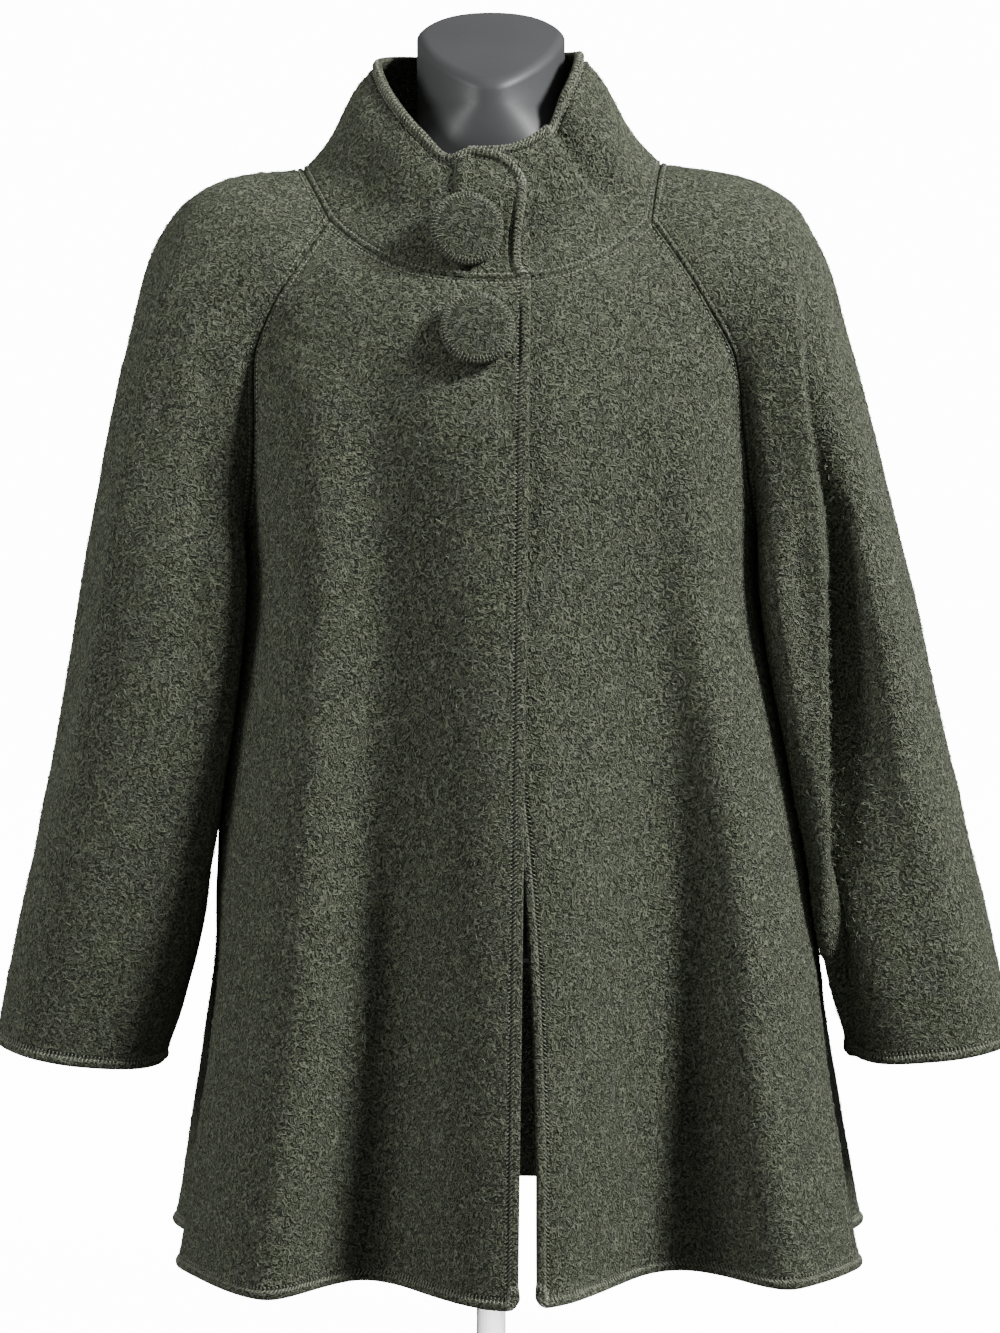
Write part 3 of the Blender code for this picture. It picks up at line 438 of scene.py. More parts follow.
# Dress form
FormSection = namedtuple("FormSection", "height half_width front back front_taper centre_x")
FORM = (
    FormSection(0.355, 0.143, 0.084, 0.092, 0.0, 0.0),
    FormSection(0.360, 0.148, 0.089, 0.097, 0.0, 0.0),
    FormSection(0.400, 0.148, 0.090, 0.098, 0.0, 0.0),
    FormSection(0.450, 0.135, 0.086, 0.088, 0.0, 0.0),
    FormSection(0.520, 0.122, 0.086, 0.080, 0.0, 0.0),
    FormSection(0.600, 0.134, 0.098, 0.084, 0.0, 0.0),
    FormSection(0.690, 0.150, 0.116, 0.092, 0.0, 0.0),
    FormSection(0.760, 0.160, 0.108, 0.094, 0.0, 0.0),
    FormSection(0.820, 0.180, 0.084, 0.084, 0.0, -0.0005),
    FormSection(0.855, 0.200, 0.066, 0.072, 0.0, -0.0010),
    FormSection(0.882, 0.2055, 0.054, 0.062, 0.0, -0.0015),
    FormSection(0.9056, 0.186, 0.046, 0.056, 0.0, -0.0015),
    FormSection(0.9185, 0.143, 0.045, 0.055, 0.0, -0.0015),
    FormSection(0.9295, 0.099, 0.047, 0.055, 0.05, -0.0010),
    FormSection(0.940, 0.069, 0.050, 0.054, 0.15, 0.0),
    FormSection(0.960, 0.058, 0.052, 0.052, 0.25, 0.0),
)
FORM_SIDES = 112
FORM_SQUARENESS = 2.25
NECK_HALF_WIDTH = 0.0575
NECK_DEPTH = 0.0520
NECK_TAPER = 0.52
NECK_TAPER_START = 0.35
NECK_RISE = 0.012
CAP_BACK = 1.0462
CAP_SLOPE = 0.56
CAP_ROUND = 0.0070
CAP_STEPS = 8
FORM_SHARP = 50  # degrees between faces past which the form is shaded with an edge

# Cloth as it was cut: greatest sizes and area of what shows
Cut = namedtuple("Cut", "width length area held")

# Wool: the near-black of its gaps between the fibres, painted shade that its tone runs down to, the colour
# of its strands and their greyer places, and its relief
Wool = namedtuple("Wool", "gap strand grey relief")
CURLED = Wool((0.007, 0.008, 0.005), (0.198, 0.219, 0.147), (0.196, 0.213, 0.157), 0.0009)
# The buttons' cloth: the same wool with darker strands, painted shade on the buttons, and a lower relief
BUTTON_WOOL_SHADED = Wool((0.007, 0.008, 0.005), (0.128, 0.142, 0.097), (0.126, 0.138, 0.104), 0.0007)
WOOL_SURFACE = {
    "Roughness": 0.95,
    "Specular IOR Level": 0.2,
    "Sheen Weight": 0.20,
    "Sheen Roughness": 0.6,
    "Sheen Tint": (0.72, 0.80, 0.60, 1),
}

# Its curled fibres: beside each contour line of a noise runs a dark one. The light line is partly the
# fibres' own lighter colour and partly a painted lit side, the dark one a painted shadow beside it.
# Both are broken into lengths where a second noise lies between two values
Fibres = namedtuple("Fibres", "scale width apart shift broken_from broken_to")
FIBRES = (
    Fibres(295, 0.088, 0.081, (0.0, 0.0, 0.0), 0.40, 0.52),
    Fibres(370, 0.096, 0.088, (3.1, 1.7, 4.3), 0.62, 0.50),
)
BROKEN_SCALE = 230
BROKEN_SHIFT = (2.0, 9.0, 5.0)
FELT_SCALE = 900
BROAD_SCALE = 60
BROAD_SHIFT = (1.3, 0.4, 2.1)
BROAD_SPAN = (0.35, 0.65)
# Weights in the tone of the light lines, partly a painted lit side, and of the painted shadow lines
LIGHT_WEIGHT = 0.55
PAINTED_SHADOW_WEIGHT = 0.30
FELT_WEIGHT = 0.50
FELT_RELIEF = 0.4
# The span's low end is the painted shade of the gaps
TONE_SPAN = (-0.16, 0.86)  # from the gaps' colour to the strands'

# Threads and fibres, whose shade goes from dark to light between neighbours
Strand = namedtuple("Strand", "scale dark light")
THREAD = Strand(800, (0.170, 0.181, 0.136), (0.370, 0.388, 0.312))
FIBRE = Strand(260, (0.060, 0.067, 0.045), (0.220, 0.240, 0.176))

# Smooth surfaces: slightly cloudy colours, and a fine grain in their gloss and relief
Smooth = namedtuple("Smooth", "cloudy dark light grain detail roughness bump relief")
PLASTIC = Smooth(9, (0.078, 0.079, 0.082), (0.092, 0.093, 0.096), 1400, 2.0, (0.42, 0.52), 0.3, 0.0001)
STEEL = Smooth(14, (0.77, 0.77, 0.76), (0.83, 0.83, 0.82), 420, 1.0, (0.40, 0.50), 0.25, 0.0002)
NOISE_SPAN = (0.3, 0.7)  # where most of a noise's values lie


def along(rows, column, at):
    """The named column at places along the table's first column, on a smooth curve."""
    xs = np.array([row[0] for row in rows], float)
    ys = np.array([getattr(row, column) for row in rows], float)
    spans, rises = np.diff(xs), np.diff(ys)
    secants = rises / spans
    before, after = secants[:-1], secants[1:]
    turning = before * after <= 0
    total = np.where(turning, 1.0, before + after)
    inner = np.where(turning, 0.0, 2 * before * after / total)
    slopes = np.concatenate((secants[:1], inner, secants[-1:]))
    at = np.clip(at, xs[0], xs[-1])
    k = np.clip(np.searchsorted(xs, at), 1, len(xs) - 1)
    span, rise = spans[k - 1], rises[k - 1]
    t = (at - xs[k - 1]) / span
    first, last = slopes[k - 1] * span, slopes[k] * span
    return ys[k - 1] + t * (first + t * (3 * rise - 2 * first - last + t * (first + last - 2 * rise)))


def smoothstep(low, high, at):
    t = np.clip((at - low) / (high - low), 0.0, 1.0)
    return t * t * (3 - 2 * t)


def powered(value, exponent):
    return np.copysign(np.abs(value) ** exponent, value)


def hump(offset, half_width):
    inside = np.abs(offset) < half_width
    return np.where(inside, np.cos(math.pi / 2 * offset / half_width) ** 2, 0.0)


def cusp(offset, half_width):
    return np.clip(1 - np.abs(offset) / half_width, 0, 1) ** 2


def bell(offset, width):
    return np.exp(-((offset / width) ** 2))


# The body's surface


def fold_push(angle, height):
    """How far the folds push points of the body in, along x and y."""
    x = y = 0.0
    for fold in FOLDS:
        down = np.clip((fold.start - height) / (fold.start - HEM), 0.0, None)
        valley = fold.top + (fold.low - fold.top) * down
        turned = (angle - valley + 180) % 360 - 180
        reach = np.where(turned > 0, fold.last - valley, valley - fold.first)
        push = fold.depth * down**fold.growth * hump(turned, reach)
        x = x - push * math.sin(math.radians(fold.side))
        y = y + push * math.cos(math.radians(fold.side))
    return x, y


def body_points(angle, height):
    """Points of the coat's body: 0 degrees is the centre front and 90 the wearer's left side."""
    turn = np.radians(angle)
    ahead = np.cos(turn)
    depth = np.where(ahead > 0, along(BODY, "front", height), along(BODY, "back", height))
    x = along(BODY, "half_width", height) * powered(np.sin(turn), 2 / SQUARENESS)
    y = -depth * powered(ahead, 2 / SQUARENESS)
    push_x, push_y = fold_push(angle, height)
    return np.stack((along(BODY, "centre_x", height) + x + push_x, y + push_y, height + 0 * x), -1)


def body_reach(point):
    """The body's radius at a point's height and direction, and the point's own radius."""
    x = point.x - along(BODY, "centre_x", point.z)
    own = math.hypot(x, point.y)
    wide = along(BODY, "half_width", point.z)
    deep = along(BODY, "front" if point.y < 0 else "back", point.z)
    total = abs(x / own / wide) ** SQUARENESS + abs(point.y / own / deep) ** SQUARENESS
    return 1 / total ** (1 / SQUARENESS), own


def angle_of_share(share):
    return np.degrees(np.arcsin(powered(share, SQUARENESS / 2)))


def angle_of_x(x, height):
    return angle_of_share((x - along(BODY, "centre_x", height)) / along(BODY, "half_width", height))


def neck_heights(angle):
    """The neck seam's height at body angles, all on the front or all on the back."""
    ahead = np.abs(angle) < 90
    height = np.where(ahead, NECK_FRONT, NECK_BACK)
    for _ in range(NECK_ROUNDS):
        x = np.abs(body_points(angle, height)[..., 0])
        rise = (NECK_RAGLAN_FRONT - NECK_FRONT) * (x / RAGLAN_NECK_X) ** NECK_ROUNDNESS
        drop = (NECK_RAGLAN_BACK - NECK_BACK) * (x / BACK_RAGLAN_NECK_X) ** 2
        height = np.where(ahead, NECK_FRONT + rise, NECK_BACK + drop)
    return height


def body_grid(first_angle, last_angle, across, shares, skirt):
    """Body points between two sides. Each side is a function that gives its angle from the
    share of the raglan seam and the height."""
    first, last = first_angle(0.0, NECK_FRONT), last_angle(0.0, NECK_FRONT)
    tops = neck_heights(first + (last - first) * across)
    upper = tops + (UNDERARM - tops) * shares[:, None]
    lower = np.repeat(skirt[:, None], len(across), axis=1)
    heights = np.vstack((upper, lower))
    share = np.concatenate((shares, np.ones(len(skirt))))[:, None]
    first, last = first_angle(share, heights), last_angle(share, heights)
    return body_points(first + (last - first) * across, heights)


def edge_angle(column):
    def angle(share, height):
        return angle_of_x(along(FRONT_EDGES, column, height), height)

    return angle


def seam_angle(column, sign, behind=False):
    def angle(share, height):
        turn = angle_of_share(along(RAGLAN, column, share))
        return 180 - sign * turn if behind else sign * turn

    return angle


def lifted(points):
    """The right front, raised off the left front near its edge."""
    raised = points.copy()
    raised[..., 1] -= OVERLAP_LIFT * smoothstep(LIFT_START_X, LIFT_FULL_X, points[..., 0])
    return raised


def rounded(points):
    """A front whose lower corner at the front edge is cut round."""
    near = np.clip(1 - np.linalg.norm(points - points[:, :1], axis=-1) / CORNER, 0, 1)
    low = np.clip(1 - np.linalg.norm(points - points[-1:], axis=-1) / (2 * CORNER), 0, 1)
    raised = points.copy()
    raised[..., 2] += CORNER * (1 - np.sqrt(1 - near**2)) * low
    return raised


# Sleeves


def trough_depth(troughs, angle, station):
    depth = 0.0
    for trough in troughs:
        middle, half = (trough.first + trough.last) / 2, (trough.last - trough.first) / 2
        across = hump(angle - trough.angle, trough.half_width)
        depth = depth + trough.depth * across * hump(station - middle, half)
    return depth


def ring_point(rings, troughs, side, station, angle):
    """A point of the sleeve's section at a station. side is -1 for the right sleeve, 1 for the left."""
    ring = {name: float(along(rings, name, station)) for name in Ring._fields[1:]}
    turn, start = math.radians(angle), math.radians(ring["start"])
    across = (ring["outer_x"] - ring["centre_x"]) if math.sin(turn) > 0 else ring["inner"]
    deep = ring["front"] if math.cos(turn) > 0 else ring["back"]
    inner = 1 - trough_depth(troughs, angle, station) / deep
    power = 2 / ring["square"] if math.sin(turn) < 0 else 1.0
    x = ring["centre_x"] + across * powered(math.sin(turn), power) * inner
    y = ring["centre_y"] - deep * powered(math.cos(turn), power) * inner
    rise = (math.sin(turn) - math.sin(start)) / (1 - math.sin(start))
    return Vector((side * x, y, ring["inner_z"] + (ring["outer_z"] - ring["inner_z"]) * rise))


def seam_height(point, front_seam, back_seam):
    """The height of the raglan seam straight above or below a point of the sleeve's inner side."""
    seam = front_seam if point.y < 0 else back_seam
    for upper, lower in zip(reversed(seam[:-1]), reversed(seam)):
        if abs(lower.y) <= abs(point.y) <= abs(upper.y):
            return lower.z + (upper.z - lower.z) * (abs(point.y) - abs(lower.y)) / abs(upper.y - lower.y)
    return front_seam[0].z


def clear_of_body(point, front_seam, back_seam):
    """A sleeve point moved out so that the hanging sleeve stays just clear of the coat's side."""
    top = seam_height(point, front_seam, back_seam)
    if point.z >= top:
        return point
    reach, own = body_reach(point)
    ramp = smoothstep(-CLEARANCE_START, CLEARANCE_RISE, top - point.z)
    need = reach + ARM_CLEARANCE * ramp
    soft = PUSH_SOFTNESS * (ramp + PUSH_AT_SEAM)
    over = (own - need) / soft
    out = need + soft * (math.log1p(math.exp(over)) if over < PUSH_FREE else over)
    centre = along(BODY, "centre_x", point.z)
    return Vector((centre + (point.x - centre) * out / own, point.y * out / own, point.z))


def eased(row, to_front, to_back):
    """A sleeve row bent so that its two ends move by the given amounts."""
    out = []
    for i, point in enumerate(row):
        near_front = max(0.0, 1 - i / (SEAM_EASE * SLEEVE_COLUMNS)) ** 2
        near_back = max(0.0, 1 - (SLEEVE_COLUMNS - i) / (SEAM_EASE * SLEEVE_COLUMNS)) ** 2
        out.append(point + to_front * near_front + to_back * near_back)
    return out


def relaxed(rows):
    """Sleeve rows evened out lengthwise about the underarm, with the seams' points kept."""
    for _ in range(RELAX_PASSES):
        before = [list(row) for row in rows]
        for j in range(*RELAX_ROWS):
            kept = 1 if j <= SEAM_ROWS else 0
            for i in range(kept, SLEEVE_COLUMNS + 1 - kept):
                rows[j][i] = before[j][i].lerp((before[j - 1][i] + before[j + 1][i]) / 2, 0.5)
    return rows


def column_shares(station):
    crowding = INNER_CROWDING * smoothstep(INNER_CROWDING_FROM, 1.0, station)
    turns = [2 * math.pi * i / SLEEVE_COLUMNS for i in range(SLEEVE_COLUMNS + 1)]
    return [(turn - crowding * math.sin(turn)) / (2 * math.pi) for turn in turns]


def seam_shares(places):
    """Shares of the way from the neck to the underarm, from places counted in coarse rows."""
    return 1 - (1 - np.asarray(places, float) / SEAM_ROWS) ** ROW_CROWDING


def sleeve_rows(rings, troughs, side, front_seam, back_seam):
    """The coarse rows from the neck to the cuff, sewn to seams of coarse points."""
    rows = []
    for j, station in enumerate(list(seam_shares(range(SEAM_ROWS + 1))) + list(ARM_STATIONS)):
        start = along(rings, "start", station)
        angles = [start + (180 - 2 * start) * share for share in column_shares(station)]
        row = [ring_point(rings, troughs, side, station, angle) for angle in angles]
        if j <= SEAM_ROWS:
            to_front, to_back, fading = front_seam[j] - row[0], back_seam[j] - row[-1], 1.0
        else:
            fading = max(0.0, 1 - (station - 1) / ARM_EASE) ** 2
        row = eased(row, to_front * fading, to_back * fading)
        if j <= SEAM_ROWS:
            row[0], row[-1] = front_seam[j], back_seam[j]
        rows.append(row)
    rows = relaxed(rows)
    for j, row in enumerate(rows):
        ends = row[0], row[-1]
        row[:] = [clear_of_body(point, front_seam, back_seam) for point in row]
        if j <= SEAM_ROWS:
            row[0], row[-1] = ends
        else:
            row[0] = row[-1] = (row[0] + row[-1]) / 2
    return rows


def spline_weights(places, count):
    """Weights that draw a smooth curve through count points, at places counted in points."""
    places = np.clip(np.asarray(places, float), 0, count - 1)
    k = np.minimum(places.astype(int), count - 2)
    t = places - k
    parts = (
        -t / 2 + t**2 - t**3 / 2,
        1 - 5 * t**2 / 2 + 3 * t**3 / 2,
        t / 2 + 2 * t**2 - 3 * t**3 / 2,
        -(t**2) / 2 + t**3 / 2,
    )
    weights = np.zeros((len(places), count + 2))
    for step, part in enumerate(parts):
        weights[np.arange(len(places)), k + step] += part
    # A point past each end goes on in a straight line
    weights[:, 1] += 2 * weights[:, 0]
    weights[:, 2] -= weights[:, 0]
    weights[:, -2] += 2 * weights[:, -1]
    weights[:, -3] -= weights[:, -1]
    return weights[:, 1:-1]


def sleeve_grid(rings, troughs, side, front, back_seam_column, row_places, across):
    """The fine grid of a sleeve. front and back_seam_column are the fine seams it is sewn to."""
    seam_count = len(front)
    coarse = [int(np.argmin(np.abs(row_places[:seam_count] - j))) for j in range(SEAM_ROWS + 1)]
    front_seam = [Vector(front[j]) for j in coarse]
    back_seam = [Vector(back_seam_column[j]) for j in coarse]
    rows = sleeve_rows(rings, troughs, side, front_seam, back_seam)
    rows = np.array([[tuple(point) for point in row] for row in rows])
    down = spline_weights(row_places, rows.shape[0])
    over = spline_weights(across * SLEEVE_COLUMNS, rows.shape[1])
    grid = np.einsum("ra,abk,cb->rck", down, rows, over)
    near_front = np.clip(1 - across / SEAM_EASE, 0, None)[None, :, None] ** 2
    near_back = near_front[:, ::-1]
    seam = slice(0, seam_count)
    to_front = (front - grid[seam, 0])[:, None]
    to_back = (back_seam_column - grid[seam, -1])[:, None]
    grid[seam] += to_front * near_front + to_back * near_back
    return grid


# Collar


def collar_grid(neck, down):
    """Rows from the rim down to the neck seam, whose points run from the end underneath,
    round the wearer's left and the back, to the end on top."""
    turns = np.unwrap(np.arctan2(neck[:, 0] - RIM_CENTRE[0], RIM_CENTRE[1] - neck[:, 1]))
    angles = np.degrees(turns)
    radius = along(RIM, "radius", angles)
    rim = np.stack((
        RIM_CENTRE[0] + radius * np.sin(turns),
        RIM_CENTRE[1] - radius * np.cos(turns),
        along(RIM, "height", angles),
    ), -1)
    out = np.stack((np.sin(turns), -np.cos(turns), np.full(len(turns), COLLAR_BELLY_LIFT)), -1)
    share = down[:, None, None]
    grid = rim * (1 - share) + neck * share + out * COLLAR_BELLY * np.sin(2 * math.pi * share)
    grid[..., 0] += along(TAB, "shift", down)[:, None] * smoothstep(TAB_START, RIM[-1].angle, angles)
    return grid


# Grids


def half_places(length, step):
    """Distances from an edge to the middle, close together near the edge."""
    places = list(EDGE_STEPS)
    while places[-1] < length / 2:
        wider = smoothstep(FINE_REACH, 2 * FINE_REACH, places[-1])
        places.append(places[-1] + FINE_STEP + (step - FINE_STEP) * wider)
    return np.array(places)


def graded(length, step=WIDE_STEP, first=True, last=True):
    """Shares from 0 to 1 of a length, close together at the ends that are named."""
    places = half_places(length, step)
    half = places / places[-1] / 2
    even = np.linspace(0, 0.5, int(length / 2 / step) + 1)
    start = half if first else even
    end = half if last else even
    return np.concatenate((start, 1 - end[::-1][1:]))


def resampled(line, shares):
    """Points at shares of a line's length."""
    lengths = np.concatenate(([0], np.cumsum(np.linalg.norm(np.diff(line, axis=0), axis=1))))
    places = shares * lengths[-1]
    return np.stack([np.interp(places, lengths, line[:, k]) for k in range(3)], -1)


def length_of(line):
    return float(np.linalg.norm(np.diff(line, axis=0), axis=1).sum())


def unit(vectors):
    return vectors / np.maximum(np.linalg.norm(vectors, axis=-1, keepdims=True), 1e-12)


def grid_normals(points):
    """Unit normals of a grid that runs down its rows and across its columns."""
    return unit(np.cross(np.gradient(points, axis=1), np.gradient(points, axis=0)))


def distances(points, line):
    """How far each point is from a line of points, worked out a block of points at a time."""
    flat = points.reshape(-1, 3)
    found = np.empty(len(flat))
    starts, ends = line[:-1], line[1:]
    for first in range(0, len(flat), BLOCK):
        block = flat[first : first + BLOCK]
        nearest = ((block[:, None] - line[None]) ** 2).sum(-1).argmin(1)
        best = np.full(len(block), np.inf)
        for shift in (-1, 0):
            k = np.clip(nearest + shift, 0, len(starts) - 1)
            way = ends[k] - starts[k]
            size = np.maximum((way**2).sum(-1), 1e-12)
            t = np.clip(((block - starts[k]) * way).sum(-1) / size, 0, 1)
            best = np.minimum(best, np.linalg.norm(block - starts[k] - way * t[:, None], axis=-1))
        found[first : first + BLOCK] = best
    return found.reshape(points.shape[:-1])


# The grid turned so that the named side is its first column
SIDES = {
    "first_column": lambda grid: grid,
    "last_column": lambda grid: grid[:, ::-1],
    "first_row": lambda grid: np.swapaxes(grid, 0, 1),
    "last_row": lambda grid: np.swapaxes(grid, 0, 1)[:, ::-1],
}


class Cloth:
    """One cloth piece: its grid, its outward normals and its finished and sewn sides."""

    def __init__(self, name, points, finished, sewn):
        self.name = name
        self.points = points
        self.normals = grid_normals(points)
        centre = points.mean(axis=(0, 1))
        if name in ("front_left", "front_right", "back"):
            centre = np.array([0.0, 0.0, centre[2]])
        self.outwards = float(np.sign((self.normals * (points - centre)).sum()))
        self.normals *= self.outwards
        self.finished = {side: self.line(side) for side in finished}
        self.sewn = {side: self.line(side) for side in sewn}

    def line(self, side):
        return SIDES[side](self.points)[:, 0]

    def lean(self, side):
        return SIDES[side](self.normals)[:, 0]

    def nearest(self, sides):
        """Each grid point's distance to the nearest of these sides."""
        found = np.full(self.points.shape[:-1], np.inf)
        for line in sides.values():
            found = np.minimum(found, distances(self.points, line))
        return found


def share_seam_normals(cloths):
    """Turn the normals at the sewn sides to those of the pieces they meet, so that no gap opens."""
    lines = {cloth.name: np.vstack([cloth.line(side) for side in cloth.sewn]) for cloth in cloths}
    leans = {cloth.name: np.vstack([cloth.lean(side) for side in cloth.sewn]) for cloth in cloths}
    turned = []
    for cloth in cloths:
        for side in cloth.sewn:
            line, own = cloth.line(side), cloth.lean(side).copy()
            total = np.zeros_like(own)
            for name in lines:
                apart = ((line[:, None] - lines[name][None]) ** 2).sum(-1)
                nearest = apart.argmin(1)
                near = apart.min(1) < SEAM_MEETS**2
                total += leans[name][nearest] * near[:, None]
            away = np.linalg.norm(SIDES[side](cloth.points) - line[:, None], axis=-1)
            turned.append((cloth, side, (unit(total) - own)[:, None] * bell(away, SEAM_TURN)[..., None]))
    for cloth, side, turn in turned:
        SIDES[side](cloth.normals)[...] += turn
    for cloth in cloths:
        cloth.normals = unit(cloth.normals)


def unevenness(points):
    """A soft unevenness that goes on from one piece to the next."""
    out = np.zeros(points.shape[:-1])
    flat = points.reshape(-1, 3)
    for size, height in UNEVEN:
        values = [noise.noise(Vector(point)) for point in (flat / size).tolist()]
        out += height * np.array(values).reshape(out.shape)
    return out


def beside(places, line):
    """How far places in the XZ plane lie to the +X side of a falling line, and the line's depth there."""
    nearest = np.full(places.shape[:-1], np.inf)
    offset, depth = np.zeros_like(nearest), np.zeros_like(nearest)
    for start, end in zip(line[:-1], line[1:]):
        way, off = end[:2] - start[:2], places - start[:2]
        share = np.clip((off @ way) / (way @ way), 0, 1)
        apart = np.linalg.norm(off - share[..., None] * way, axis=-1)
        closer = apart < nearest
        turned = np.sign(way[0] * off[..., 1] - way[1] * off[..., 0])
        nearest = np.where(closer, apart, nearest)
        offset = np.where(closer, apart * turned, offset)
        depth = np.where(closer, start[2] + (end[2] - start[2]) * share, depth)
    return offset, depth


def creasing(cloth):
    """How deep the listed creases of a piece are at each grid point."""
    depth = np.zeros(cloth.points.shape[:-1])
    for creases, facing in ((CREASES, -1), (CREASES_BEHIND, 1)):
        turned = smoothstep(*CREASE_TURN, facing * cloth.normals[..., 1])
        for crease in creases:
            if crease.piece == cloth.name:
                offset, deep = beside(cloth.points[..., (0, 2)], np.array(crease.line))
                reach = np.where(offset < 0, crease.left, crease.right)
                shape = np.where(reach > CUSP_FROM, cusp(offset, reach), hump(offset, reach))
                depth += turned * deep * shape
    return depth


def finished_relief(distance, bulge):
    """How far a finished edge stands out: a padded band, a row of stitches and a slight puff."""
    band = bulge * np.sin(math.pi * np.clip(distance / BAND, 0, 1)) ** BAND_FULLNESS
    groove = -GROOVE_DEPTH * bell(distance - BAND, GROOVE_WIDTH)
    return band + groove + PUFF * bell(distance - PUFF_PLACE, PUFF_WIDTH)


def seam_relief(distance):
    """A seam's groove between its two padded bands, each with a row of stitches."""
    bulge = SEAM_BULGE * np.sin(math.pi * np.clip(distance / SEAM_BAND, 0, 1)) ** BAND_FULLNESS
    groove = -SEAM_GROOVE * bell(distance, SEAM_GROOVE_WIDTH)
    stitches = -GROOVE_DEPTH / 2 * bell(distance - SEAM_BAND, GROOVE_WIDTH)
    return bulge + groove + stitches


def edge_rounding(distance):
    """How far each face of the wall draws in at a finished edge."""
    short = EDGE_RADIUS - np.minimum(distance, EDGE_RADIUS)
    return EDGE_RADIUS - np.sqrt(np.maximum(EDGE_RADIUS**2 - short**2, 0))


# Meshes


def new_object(name, points, faces, material, smooth=True):
    """A mesh whose faces all have the same number of corners."""
    points, faces = np.asarray(points, np.float32), np.asarray(faces, np.int32)
    mesh = bpy.data.meshes.new(name)
    mesh.vertices.add(len(points))
    mesh.vertices.foreach_set("co", points.ravel())
    mesh.loops.add(faces.size)
    mesh.loops.foreach_set("vertex_index", faces.ravel())
    mesh.polygons.add(len(faces))
    mesh.polygons.foreach_set("loop_start", np.arange(0, faces.size, faces.shape[1], dtype=np.int32))
    mesh.update(calc_edges=True)
    if smooth:
        mesh.shade_smooth()
    mesh.materials.append(material)
    made = bpy.data.objects.new(name, mesh)
    bpy.context.scene.collection.objects.link(made)
    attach(made, "root")
    return made


def grid_faces(rows, columns, first=0):
    ids = first + np.arange(rows * columns).reshape(rows, columns)
    return np.stack((ids[:-1, :-1], ids[1:, :-1], ids[1:, 1:], ids[:-1, 1:]), -1).reshape(-1, 4)


def border_ids(rows, columns):
    """The grid's border, once round."""
    ids = np.arange(rows * columns).reshape(rows, columns)
    return np.concatenate((ids[0, :-1], ids[:-1, -1], ids[-1, :0:-1], ids[:0:-1, 0]))


def wall_mesh(cloth, outer, inner):
    """The points and faces of a closed wall between its outer and its inner grid."""
    rows, columns = outer.shape[:2]
    count = rows * columns
    faces = grid_faces(rows, columns)
    border = border_ids(rows, columns)
    after = np.roll(border, -1)
    rim = np.stack((border, after, after + count, border + count), -1)
    inside = faces[:, ::-1] + count
    faces = np.vstack((faces, inside, rim[:, ::-1]))
    # So far they point inwards where the grid's normals needed no turning
    if cloth.outwards > 0:
        faces = faces[:, ::-1]
    return np.vstack((outer.reshape(-1, 3), inner.reshape(-1, 3))), faces


# Threads


def inset_line(outer, normals, distance, side, inset):
    """The points and normals of the cloth at a distance in from one of its sides."""
    points, lean, far = (SIDES[side](grid) for grid in (outer, normals, distance))
    places, directions = [], []
    for row, ways, away in zip(points, lean, far):
        k = int(np.argmax(away >= inset))
        if k == 0:
            continue
        t = (inset - away[k - 1]) / (away[k] - away[k - 1])
        places.append(row[k - 1] + (row[k] - row[k - 1]) * t)
        directions.append(ways[k - 1] + (ways[k] - ways[k - 1]) * t)
    return np.array(places), unit(np.array(directions))


def spindle(start, end, lift, radius):
    """A short thread between two points: a four-sided bar that narrows at both ends."""
    way = end - start
    size = np.linalg.norm(way)
    ahead = way / size
    side = np.cross(ahead, lift)
    side /= np.linalg.norm(side)
    up = np.cross(side, ahead)
    points = [start]
    for share, thick in SPINDLE:
        centre = start + way * share + up * radius * thick * SPINDLE_LIFT
        for turn in range(4):
            angle = math.pi / 4 + turn * math.pi / 2
            corner = side * math.cos(angle) + up * math.sin(angle)
            points.append(centre + corner * radius * thick * SPINDLE_CORNER)
    points.append(end)
    return points


def spindle_faces():
    """A spindle's faces, between its start, its rings of four corners and its end."""
    last_ring = 1 + 4 * (len(SPINDLE) - 1)
    end = last_ring + 4
    faces = [(0, 1 + (k + 1) % 4, 1 + k) for k in range(4)]
    for low in range(1, last_ring, 4):
        for k in range(4):
            n = (k + 1) % 4
            faces += [(low + k, low + n, low + 4 + n), (low + k, low + 4 + n, low + 4 + k)]
    faces += [(end, last_ring + k, last_ring + (k + 1) % 4) for k in range(4)]
    return np.array(faces)


def add_spindles(name, spindles, material):
    """Many short threads as one object."""
    points, one = np.array(spindles), spindle_faces()
    faces = np.concatenate([one + points.shape[1] * k for k in range(len(points))])
    made = new_object(name, points.reshape(-1, 3), faces, material)
    return made


def row_of_stitches(line, normals):
    """Stitches of an even pitch along a line on the cloth."""
    lengths = np.concatenate(([0], np.cumsum(np.linalg.norm(np.diff(line, axis=0), axis=1))))
    starts = np.arange(STITCH_PITCH / 2, lengths[-1] - STITCH_LENGTH, STITCH_PITCH)

    def at(values, places):
        return np.stack([np.interp(places, lengths, values[:, k]) for k in range(3)], -1)

    ends = zip(at(line, starts), at(line, starts + STITCH_LENGTH), at(normals, starts))
    return [spindle(first, last, lean, STITCH_RADIUS) for first, last, lean in ends]


